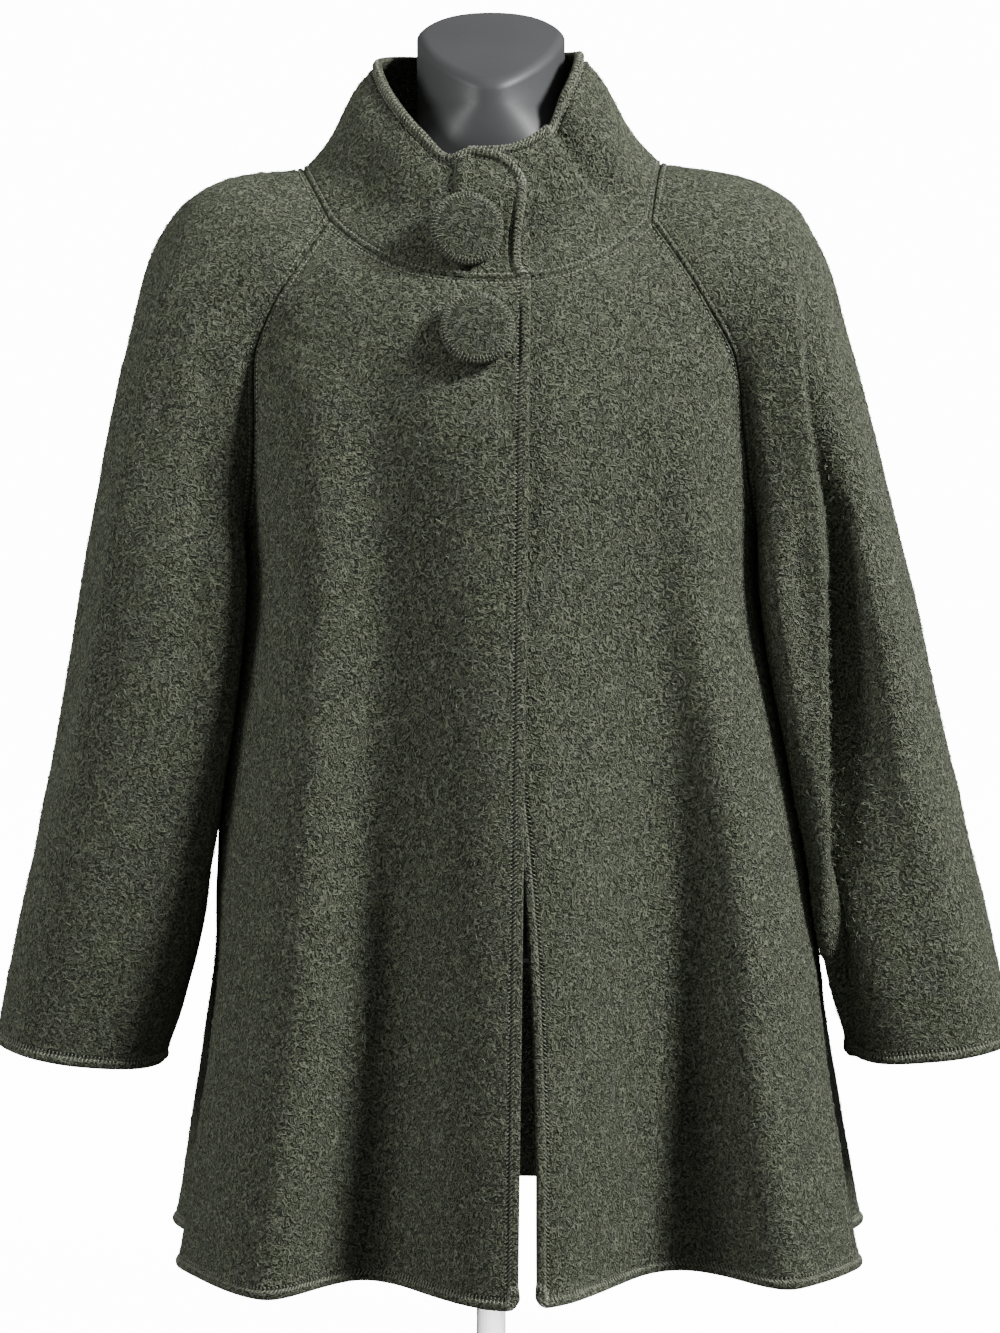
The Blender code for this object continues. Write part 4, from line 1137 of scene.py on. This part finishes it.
def edge_threads(cloth, outer, side, line):
    """A finished edge's row of stitches, and the cross stitches over it."""
    ticks = RIM_TICKS if cloth.name == "collar" else EDGE_TICKS
    own = distances(cloth.points, line)
    made = row_of_stitches(*inset_line(outer, cloth.normals, own, side, BAND))
    insets = (ticks.start, (ticks.start + ticks.end) / 2, ticks.end)
    rows = [inset_line(outer, cloth.normals, own, side, inset) for inset in insets]
    (low, lean), (middle, _), (high, _) = rows
    shares = np.arange(TICK_PITCH / 2, length_of(low), TICK_PITCH) / length_of(low)
    for start, centre, end, up in zip(*(resampled(row, shares) for row in (low, middle, high, lean))):
        made += [spindle(start, centre, up, TICK_RADIUS), spindle(centre, end, up, TICK_RADIUS)]
    return made


def seam_threads(cloth, outer, side, line):
    """The row of stitches beside a seam."""
    own = distances(cloth.points, line)
    return row_of_stitches(*inset_line(outer, cloth.normals, own, side, SEAM_BAND))


# Nap


def nap_mesh(cloth, outer, clear, seed):
    """Curled fibres scattered evenly over the outside, each a thin strip of three lengths."""
    random = np.random.default_rng(seed)
    down, across = np.diff(outer, axis=0)[:, :-1], np.diff(outer, axis=1)[:-1]
    areas = np.linalg.norm(np.cross(down, across), axis=-1)
    count = int(NAP_FIBRES * areas.sum() / COAT_AREA)
    cells = random.choice(areas.size, count, p=(areas / areas.sum()).ravel())
    row, column = np.unravel_index(cells, areas.shape)
    kept = clear[row, column]
    row, column = row[kept], column[kept]
    count = len(row)
    v, u = random.random((2, count, 1))

    def within(grid):
        top = grid[row, column] * (1 - u) + grid[row, column + 1] * u
        low = grid[row + 1, column] * (1 - u) + grid[row + 1, column + 1] * u
        return top * (1 - v) + low * v

    place, lean = within(outer), unit(within(cloth.normals))
    fall = unit(down[row, column] - lean * (down[row, column] * lean).sum(-1, keepdims=True))
    side = np.cross(lean, fall)
    turn = np.radians(random.normal(0, NAP_SPREAD, (count, 1)))
    ahead = fall * np.cos(turn) + side * np.sin(turn)
    aside = np.cross(lean, ahead)
    length = random.uniform(*NAP_LENGTH, (count, 1))
    curl = random.normal(0, NAP_CURL, (count, 1))
    sway = random.normal(0, NAP_SWAY, (count, 1))
    lift = NAP_LIFT * random.uniform(*NAP_LIFT_SPREAD, (count, 1))
    stray = NAP_STRAY_LIFT * random.random((count, 1)) * (random.random((count, 1)) < NAP_STRAY)
    twist = random.normal(0, NAP_TWIST, (count, 1))
    wide = NAP_HALF_WIDTH * random.uniform(*NAP_WIDTH_SPREAD, (count, 1)) * unit(aside + lean * twist)
    spine = []
    for step, bend, wave, height in NAP_POINTS:
        high = lift * height - NAP_SUNK * (1 - height) + stray * max(step + NAP_STRAY_FROM, 0)
        spine.append(place + ahead * length * step + aside * (curl * bend + sway * wave) + lean * high)
    start, second, third, end = spine
    points = np.stack((start, second - wide, second + wide, third - wide, third + wide, end), 1)
    one = np.array([(0, 2, 1), (1, 2, 4), (1, 4, 3), (3, 4, 5)])
    faces = (one[None] + 6 * np.arange(count)[:, None, None]).reshape(-1, 3)
    return points.reshape(-1, 3), faces


# Materials


def add_node(tree, kind, inputs=(), **settings):
    made = tree.nodes.new(kind)
    for name, value in settings.items():
        setattr(made, name, value)
    for name, value in dict(inputs).items():
        if isinstance(value, bpy.types.NodeSocket):
            tree.links.new(value, made.inputs[name])
        else:
            made.inputs[name].default_value = value
    return made


def calculate(tree, operation, first, second=0.0):
    return add_node(tree, "ShaderNodeMath", {0: first, 1: second}, operation=operation).outputs[0]


def multiplied(tree, first, second):
    return calculate(tree, "MULTIPLY", first, second)


def stepped(tree, value, low, high, start=0.0, end=1.0):
    """The value's way from low to high, smoothly from start to end."""
    inputs = {"Value": value, "From Min": low, "From Max": high, "To Min": start, "To Max": end}
    made = add_node(tree, "ShaderNodeMapRange", inputs, interpolation_type="SMOOTHSTEP")
    return made.outputs["Result"]


def mixed(tree, share, first, second):
    made = add_node(tree, "ShaderNodeMix", data_type="RGBA")
    for socket, value in ((0, share), (6, first), (7, second)):
        if isinstance(value, bpy.types.NodeSocket):
            tree.links.new(value, made.inputs[socket])
        else:
            made.inputs[socket].default_value = value
    return made.outputs[2]


def shifted(tree, vector, shift):
    made = add_node(tree, "ShaderNodeVectorMath", {0: vector, 1: shift}, operation="ADD")
    return made.outputs[0]


def noise_node(tree, vector, scale, detail=0.0):
    inputs = {"Vector": vector, "Scale": scale, "Detail": detail}
    return add_node(tree, "ShaderNodeTexNoise", inputs).outputs[0]


def bumped(tree, shader, height, strength, relief):
    bump = add_node(tree, "ShaderNodeBump", {"Height": height, "Strength": strength, "Distance": relief})
    tree.links.new(bump.outputs["Normal"], shader.inputs["Normal"])


def new_material(name):
    """A material with its nodes, its shader and the place that its textures are read at."""
    made = bpy.data.materials.new(name)
    made.use_nodes = True
    tree = made.node_tree
    place = add_node(tree, "ShaderNodeTexCoord").outputs["Object"]
    return made, tree, tree.nodes["Principled BSDF"], place


def contour(tree, level, at, width):
    """A line where the level is near the value at."""
    off = calculate(tree, "ABSOLUTE", calculate(tree, "SUBTRACT", level, at))
    return stepped(tree, off, width, 0.0)


def curled_fibres(tree, place):
    """The light fibre lines, partly a painted lit side, and the painted shadow lines beside them."""
    light = dark = None
    broken = noise_node(tree, shifted(tree, place, BROKEN_SHIFT), BROKEN_SCALE)
    for fibres in FIBRES:
        level = noise_node(tree, shifted(tree, place, fibres.shift), fibres.scale)
        kept = stepped(tree, broken, fibres.broken_from, fibres.broken_to)
        # The light contour: the fibres' lighter colour, partly a painted lit side
        over = multiplied(tree, contour(tree, level, 0.5 + fibres.apart, fibres.width), kept)
        # The dark contour beside it: a painted shadow
        gap = multiplied(tree, contour(tree, level, 0.5 - fibres.apart, fibres.width), kept)
        light = over if light is None else calculate(tree, "MAXIMUM", light, over)
        dark = gap if dark is None else calculate(tree, "MAXIMUM", dark, gap)
    return light, dark


def wool_material(name, kind):
    """Boiled wool with a short curled nap."""
    made, tree, shader, place = new_material(name)
    light, dark = curled_fibres(tree, place)
    felt = noise_node(tree, place, FELT_SCALE)
    broad = noise_node(tree, shifted(tree, place, BROAD_SHIFT), BROAD_SCALE)
    lit, shaded = multiplied(tree, light, LIGHT_WEIGHT), multiplied(tree, dark, PAINTED_SHADOW_WEIGHT)
    tone = calculate(tree, "SUBTRACT", lit, shaded)
    tone = calculate(tree, "ADD", tone, multiplied(tree, felt, FELT_WEIGHT))
    over = mixed(tree, stepped(tree, broad, *BROAD_SPAN), (*kind.strand, 1), (*kind.grey, 1))
    # Low tone runs to the painted shade of the gaps, high tone to the strands' colour
    colour = mixed(tree, stepped(tree, tone, *TONE_SPAN), (*kind.gap, 1), over)
    tree.links.new(colour, shader.inputs["Base Color"])
    height = calculate(tree, "SUBTRACT", light, dark)
    height = calculate(tree, "ADD", height, multiplied(tree, felt, FELT_RELIEF))
    bumped(tree, shader, height, 1.0, kind.relief)
    for socket, value in WOOL_SURFACE.items():
        shader.inputs[socket].default_value = value
    return made


def smooth_material(name, kind):
    """Moulded plastic or painted steel."""
    made, tree, shader, place = new_material(name)
    cloudy = noise_node(tree, place, kind.cloudy, detail=3.0)
    colour = mixed(tree, stepped(tree, cloudy, *NOISE_SPAN), (*kind.dark, 1), (*kind.light, 1))
    tree.links.new(colour, shader.inputs["Base Color"])
    grain = noise_node(tree, place, kind.grain, detail=kind.detail)
    tree.links.new(stepped(tree, grain, *NOISE_SPAN, *kind.roughness), shader.inputs["Roughness"])
    bumped(tree, shader, grain, kind.bump, kind.relief)
    return made


def strand_material(name, kind):
    """Wool strands whose shade goes from dark to light between neighbours."""
    made, tree, shader, place = new_material(name)
    level = noise_node(tree, place, kind.scale, detail=1.0)
    colour = mixed(tree, stepped(tree, level, *NOISE_SPAN), (*kind.dark, 1), (*kind.light, 1))
    tree.links.new(colour, shader.inputs["Base Color"])
    shader.inputs["Roughness"].default_value = 0.75
    shader.inputs["Specular IOR Level"].default_value = 0.3
    return made


# The scene


def add_camera():
    data = bpy.data.cameras.new("view")
    data.lens = CAMERA_LENS
    data.sensor_width = SENSOR
    camera = bpy.data.objects.new("view", data)
    camera.location = CAMERA_PLACE
    camera.rotation_euler = (math.radians(90 - CAMERA_TILT), 0, 0)
    bpy.context.scene.collection.objects.link(camera)
    bpy.context.scene.camera = camera


def add_light(kind, light):
    """A light at its place, turned to its aim."""
    data = bpy.data.lights.new(light.name, kind)
    data.energy = light.power
    made = bpy.data.objects.new(light.name, data)
    made.location = light.place
    way = Vector(light.aim) - Vector(light.place)
    made.rotation_euler = way.to_track_quat("-Z", "Y").to_euler()
    bpy.context.scene.collection.objects.link(made)
    return data


def add_area_light(light):
    data = add_light("AREA", light)
    data.shape = "DISK"
    data.size = light.size


def add_stand_light():
    """A narrow light on the pole, which makes it nearly as pale as the floor."""
    data = add_light("SPOT", STAND_LIGHT)
    data.spot_size = math.radians(STAND_LIGHT.angle)
    data.spot_blend = STAND_LIGHT.blend
    data.shadow_soft_size = STAND_LIGHT.size


def floor_material():
    made, tree, shader, place = new_material("pale_floor")
    cloudy = noise_node(tree, place, 2, detail=2.0)
    colour = mixed(tree, cloudy, (0.86, 0.86, 0.86, 1), (0.90, 0.90, 0.90, 1))
    tree.links.new(colour, shader.inputs["Base Color"])
    shader.inputs["Roughness"].default_value = 0.9
    shader.inputs["Emission Color"].default_value = (1, 1, 1, 1)
    shader.inputs["Emission Strength"].default_value = FLOOR_GLOW
    return made


def add_floor():
    """A pale floor that curves up into a backdrop."""
    profile = [(FLOOR_FRONT, 0.0), (FLOOR_BACK, 0.0)]
    for turn in np.radians(range(BACKDROP_STEP, 91, BACKDROP_STEP)):
        out, rise = BACKDROP_RADIUS * math.sin(turn), BACKDROP_RADIUS * math.cos(turn)
        profile.append((FLOOR_BACK + out, BACKDROP_RADIUS - rise))
    profile.append((FLOOR_BACK + BACKDROP_RADIUS, BACKDROP_TOP))
    points = [(x, y, z) for y, z in profile for x in (-FLOOR_HALF_WIDTH, FLOOR_HALF_WIDTH)]
    faces = [(2 * k, 2 * k + 1, 2 * k + 3, 2 * k + 2) for k in range(len(profile) - 1)]
    mesh = bpy.data.meshes.new("floor")
    mesh.from_pydata(points, [], faces)
    mesh.shade_smooth()
    mesh.materials.append(floor_material())
    floor = bpy.data.objects.new("floor", mesh)
    floor.visible_diffuse = floor.visible_glossy = False
    bpy.context.scene.collection.objects.link(floor)


def add_studio():
    """The floor, an even sky, the key light from the wearer's left, a fill and the stand's light."""
    add_floor()
    world = bpy.data.worlds.new("studio")
    world.use_nodes = True
    world.node_tree.nodes["Background"].inputs["Color"].default_value = (1, 1, 1, 1)
    world.node_tree.nodes["Background"].inputs["Strength"].default_value = SKY_STRENGTH
    bpy.context.scene.world = world
    add_area_light(KEY)
    add_stand_light()
    add_area_light(FILL)


def cloth_pieces():
    """The fine grids, sewn together along shared points."""
    upper = graded(SEAM_LENGTH, last=False) * SEAM_ROWS
    upper = np.unique(np.concatenate((upper, np.arange(SEAM_ROWS + 1))).round(9))
    shares = seam_shares(upper)
    skirt = UNDERARM + (HEM - UNDERARM) * graded(SKIRT_LENGTH, first=False)[1:]
    arm = SEAM_ROWS + graded(ARM_LENGTH, first=False)[1:] * len(ARM_STATIONS)
    front_across, back_across = graded(FRONT_WIDTH), graded(BACK_WIDTH)
    sleeve_across = graded(SLEEVE_WIDTH, SLEEVE_STEP)
    count = len(shares)

    left = body_grid(edge_angle("under_x"), seam_angle("front_left", 1), front_across, shares, skirt)
    left = rounded(left)
    right = body_grid(edge_angle("over_x"), seam_angle("front_right", -1), front_across, shares, skirt)
    right = rounded(lifted(right))
    back = body_grid(seam_angle("back", 1, True), seam_angle("back", -1, True), back_across, shares, skirt)
    places = np.concatenate((upper, arm))
    sleeve_left = sleeve_grid(
        SLEEVE_LEFT, TROUGHS_LEFT, 1, left[:count, -1], back[:count, 0], places, sleeve_across
    )
    sleeve_right = sleeve_grid(
        SLEEVE_RIGHT, TROUGHS_RIGHT, -1, right[:count, -1], back[:count, -1], places, sleeve_across
    )
    round_left = (left[0], sleeve_left[0, 1:], back[0, 1:])
    neck = np.concatenate((*round_left, sleeve_right[0, -2::-1], right[0, -2::-1]))
    neck = resampled(neck, graded(COLLAR_LENGTH, COLLAR_STEP))
    collar = collar_grid(neck, graded(COLLAR_HEIGHT, COLLAR_STEP))
    three = ("first_row", "first_column", "last_column")
    return [
        Cloth("front_right", right, ("first_column", "last_row"), ("first_row", "last_column")),
        Cloth("front_left", left, ("first_column", "last_row"), ("first_row", "last_column")),
        Cloth("back", back, ("last_row",), three),
        Cloth("sleeve_right", sleeve_right, ("last_row",), three),
        Cloth("sleeve_left", sleeve_left, ("last_row",), three),
        Cloth("collar", collar, three, ("last_row",)),
    ]


def add_cloth(cloth, wool, thread, fibre, seed):
    """The piece's wall, the threads of its sewing and its nap, each an object of its own."""
    to_finished, to_sewn = cloth.nearest(cloth.finished), cloth.nearest(cloth.sewn)
    soft = unevenness(cloth.points) - creasing(cloth)
    bulge = COLLAR_BULGE if cloth.name == "collar" else BAND_BULGE
    relief = finished_relief(to_finished, bulge) + seam_relief(to_sewn)
    rounding = edge_rounding(to_finished)
    outer = cloth.points + cloth.normals * (soft + relief - rounding)[..., None]
    inner = cloth.points + cloth.normals * (soft - CLOTH + rounding)[..., None]
    piece = new_object("wool_" + cloth.name, *wall_mesh(cloth, outer, inner), wool)
    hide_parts(cloth.name)

    stitches = []
    for side, line in cloth.finished.items():
        stitches += edge_threads(cloth, outer, side, line)
    for side, line in cloth.sewn.items():
        stitches += seam_threads(cloth, outer, side, line)
    sewing = add_spindles("thread_" + cloth.name, stitches, thread)

    clear = (to_finished > BAND + NAP_CLEAR) & (to_sewn > SEAM_BAND + NAP_CLEAR)
    curls = nap_mesh(cloth, outer, clear[:-1, :-1], seed)
    nap = new_object("nap_" + cloth.name, *curls, fibre, smooth=False)

    return outer


def turned_mesh(profile, turns):
    """Points and faces of a profile turned about Z. Its first and last points are on the axis."""
    radii, heights = np.array(profile[1:-1]).T
    angles = np.linspace(0, 2 * math.pi, turns, endpoint=False)
    rings = np.stack((
        radii[:, None] * np.cos(angles), radii[:, None] * np.sin(angles), heights[:, None] + 0 * angles
    ), -1)
    points = np.vstack(([(0, 0, profile[0][1])], rings.reshape(-1, 3), [(0, 0, profile[-1][1])]))
    faces = []
    for k in range(turns):
        n = (k + 1) % turns
        faces.append((0, 1 + k, 1 + n))
        for ring in range(len(radii) - 1):
            low = 1 + ring * turns
            faces += [(low + k, low + turns + k, low + turns + n), (low + k, low + turns + n, low + n)]
        last = 1 + (len(radii) - 1) * turns
        faces.append((last + k, len(points) - 1, last + n))
    return points, faces


def button_height(radius):
    """The dome's height over the button's underside at a radius."""
    fall = (1 - (radius / BUTTON_RADIUS) ** 2) ** BUTTON_FLATNESS
    return BUTTON_RIM + (BUTTON_DOME - BUTTON_RIM) * fall


def button_profile():
    """From the top over the rim and the turned-under edge to the foot of the shank."""
    lift = BUTTON_STANDOFF
    profile = [(0, lift + BUTTON_DOME)]
    for k in range(1, BUTTON_STEPS + 1):
        radius = BUTTON_RADIUS * math.sin(math.radians(90 * k / BUTTON_STEPS))
        profile.append((radius, lift + button_height(radius)))
    profile += [(BUTTON_RADIUS - inset, lift + height) for inset, height in BUTTON_EDGE]
    profile += [(BUTTON_SHANK_RADIUS + BUTTON_FLARE, lift), (BUTTON_SHANK_RADIUS, lift - BUTTON_FLARE)]
    return profile + [(BUTTON_SHANK_RADIUS, 0), (0, 0)]


def gather_threads():
    """Small folds over the button's rim, every second one longer."""
    made = []
    for k in range(GATHERS):
        turn = 2 * math.pi * k / GATHERS
        start = GATHER_FROM - GATHER_FROM / GATHER_STAGGER * (k % 2)
        line = []
        for share in (start, (GATHER_FROM + GATHER_TO) / 2, GATHER_TO):
            radius = share * BUTTON_RADIUS
            height = BUTTON_STANDOFF + button_height(radius)
            line.append(np.array((radius * math.cos(turn), radius * math.sin(turn), height)))
        out = line[2] * (1, 1, 0)
        made += [spindle(first, last, out, GATHER_RADIUS) for first, last in zip(line, line[1:])]
    return made


def add_button(name, place, outer, wool, thread):
    """A domed button covered in the cloth, on the piece whose outer grid is given."""
    tree = BVHTree.FromPolygons(outer.reshape(-1, 3).tolist(), grid_faces(*outer.shape[:2]).tolist())
    spot, normal, _, _ = tree.ray_cast(Vector((place[0], AHEAD, place[1])), Vector((0, 1, 0)))
    if normal.y > 0:
        normal = -normal
    points, faces = turned_mesh(button_profile(), BUTTON_TURNS)
    made = new_object("covered_" + name, points, faces, wool)
    lean = Vector((0, 0, 1)).rotation_difference(normal).to_matrix().to_4x4()
    made.matrix_world = Matrix.Translation(spot + normal * BUTTON_GAP) @ lean
    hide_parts(name)
    folds = add_spindles("gathers_" + name, gather_threads(), thread)
    folds.matrix_world = made.matrix_world


def form_ring(half_width, front, back, taper, centre_x):
    """The form's section as points in the plane. taper narrows its front."""
    turn = np.linspace(0, 2 * math.pi, FORM_SIDES, endpoint=False)
    ahead = np.cos(turn)
    x = half_width * powered(np.sin(turn), 2 / FORM_SQUARENESS)
    x = x * (1 - taper * np.maximum(0.0, (ahead + NECK_TAPER_START) / (1 + NECK_TAPER_START)))
    y = -np.where(ahead > 0, front, back) * powered(ahead, 2 / FORM_SQUARENESS)
    return np.stack((centre_x + x, y), -1)


def add_form(plastic):
    """Torso and neck of the dress form, with the slanted cap's edge rounded."""
    rings = []
    for section in FORM:
        flat = form_ring(*section[1:])
        rings.append(np.column_stack((flat, np.full(FORM_SIDES, section.height))))
    neck = form_ring(NECK_HALF_WIDTH, NECK_DEPTH, NECK_DEPTH, NECK_TAPER, 0.0)
    rings.append(np.column_stack((neck, np.full(FORM_SIDES, FORM[-1].height + NECK_RISE))))
    for k in range(CAP_STEPS + 1):
        turn = math.radians(90 * k / CAP_STEPS)
        scale = 1 - (1 - math.cos(turn)) * CAP_ROUND / NECK_DEPTH
        flat = neck * scale
        height = CAP_BACK - CAP_SLOPE * (NECK_DEPTH - flat[:, 1]) - CAP_ROUND * (1 - math.sin(turn))
        rings.append(np.column_stack((flat, height)))
    points = np.vstack(rings)
    ids = np.arange(len(points)).reshape(len(rings), FORM_SIDES)
    after = np.roll(ids, -1, axis=1)
    faces = np.stack((ids[:-1], after[:-1], after[1:], ids[1:]), -1).reshape(-1, 4).tolist()
    faces.append(ids[0, ::-1].tolist())
    faces.append(ids[-1].tolist())
    mesh = bpy.data.meshes.new("satin_dress_form")
    mesh.from_pydata(points.tolist(), [], faces)
    mesh.shade_smooth()
    mesh.set_sharp_from_angle(angle=math.radians(FORM_SHARP))
    mesh.materials.append(plastic)
    made = bpy.data.objects.new("satin_dress_form", mesh)
    bpy.context.scene.collection.objects.link(made)
    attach(made, "root")
    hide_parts("dress_form")


def main():
    add_camera()
    add_studio()
    # The buttons are covered in the darker copy of the wool, painted shade on their faces
    wool, covering = wool_material("curled_green_wool", CURLED), wool_material("green_wool_painted_shade", BUTTON_WOOL_SHADED)
    thread, fibre = strand_material("olive_thread", THREAD), strand_material("olive_fibre", FIBRE)
    steel = smooth_material("painted_steel_satin", STEEL)
    add_form(smooth_material("satin_grey_plastic", PLASTIC))
    surfaces = {}
    cloths = cloth_pieces()
    share_seam_normals(cloths)
    for seed, cloth in enumerate(cloths):
        surfaces[cloth.name] = add_cloth(cloth, wool, thread, fibre, seed)
    add_button("button_collar", BUTTON_ON_COLLAR, surfaces["collar"], covering, thread)
    add_button("button_front", BUTTON_ON_FRONT, surfaces["front_right"], covering, thread)
    for name in ("stand_pole", "stand_base"):
        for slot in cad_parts[name].material_slots:
            slot.material = steel


main()
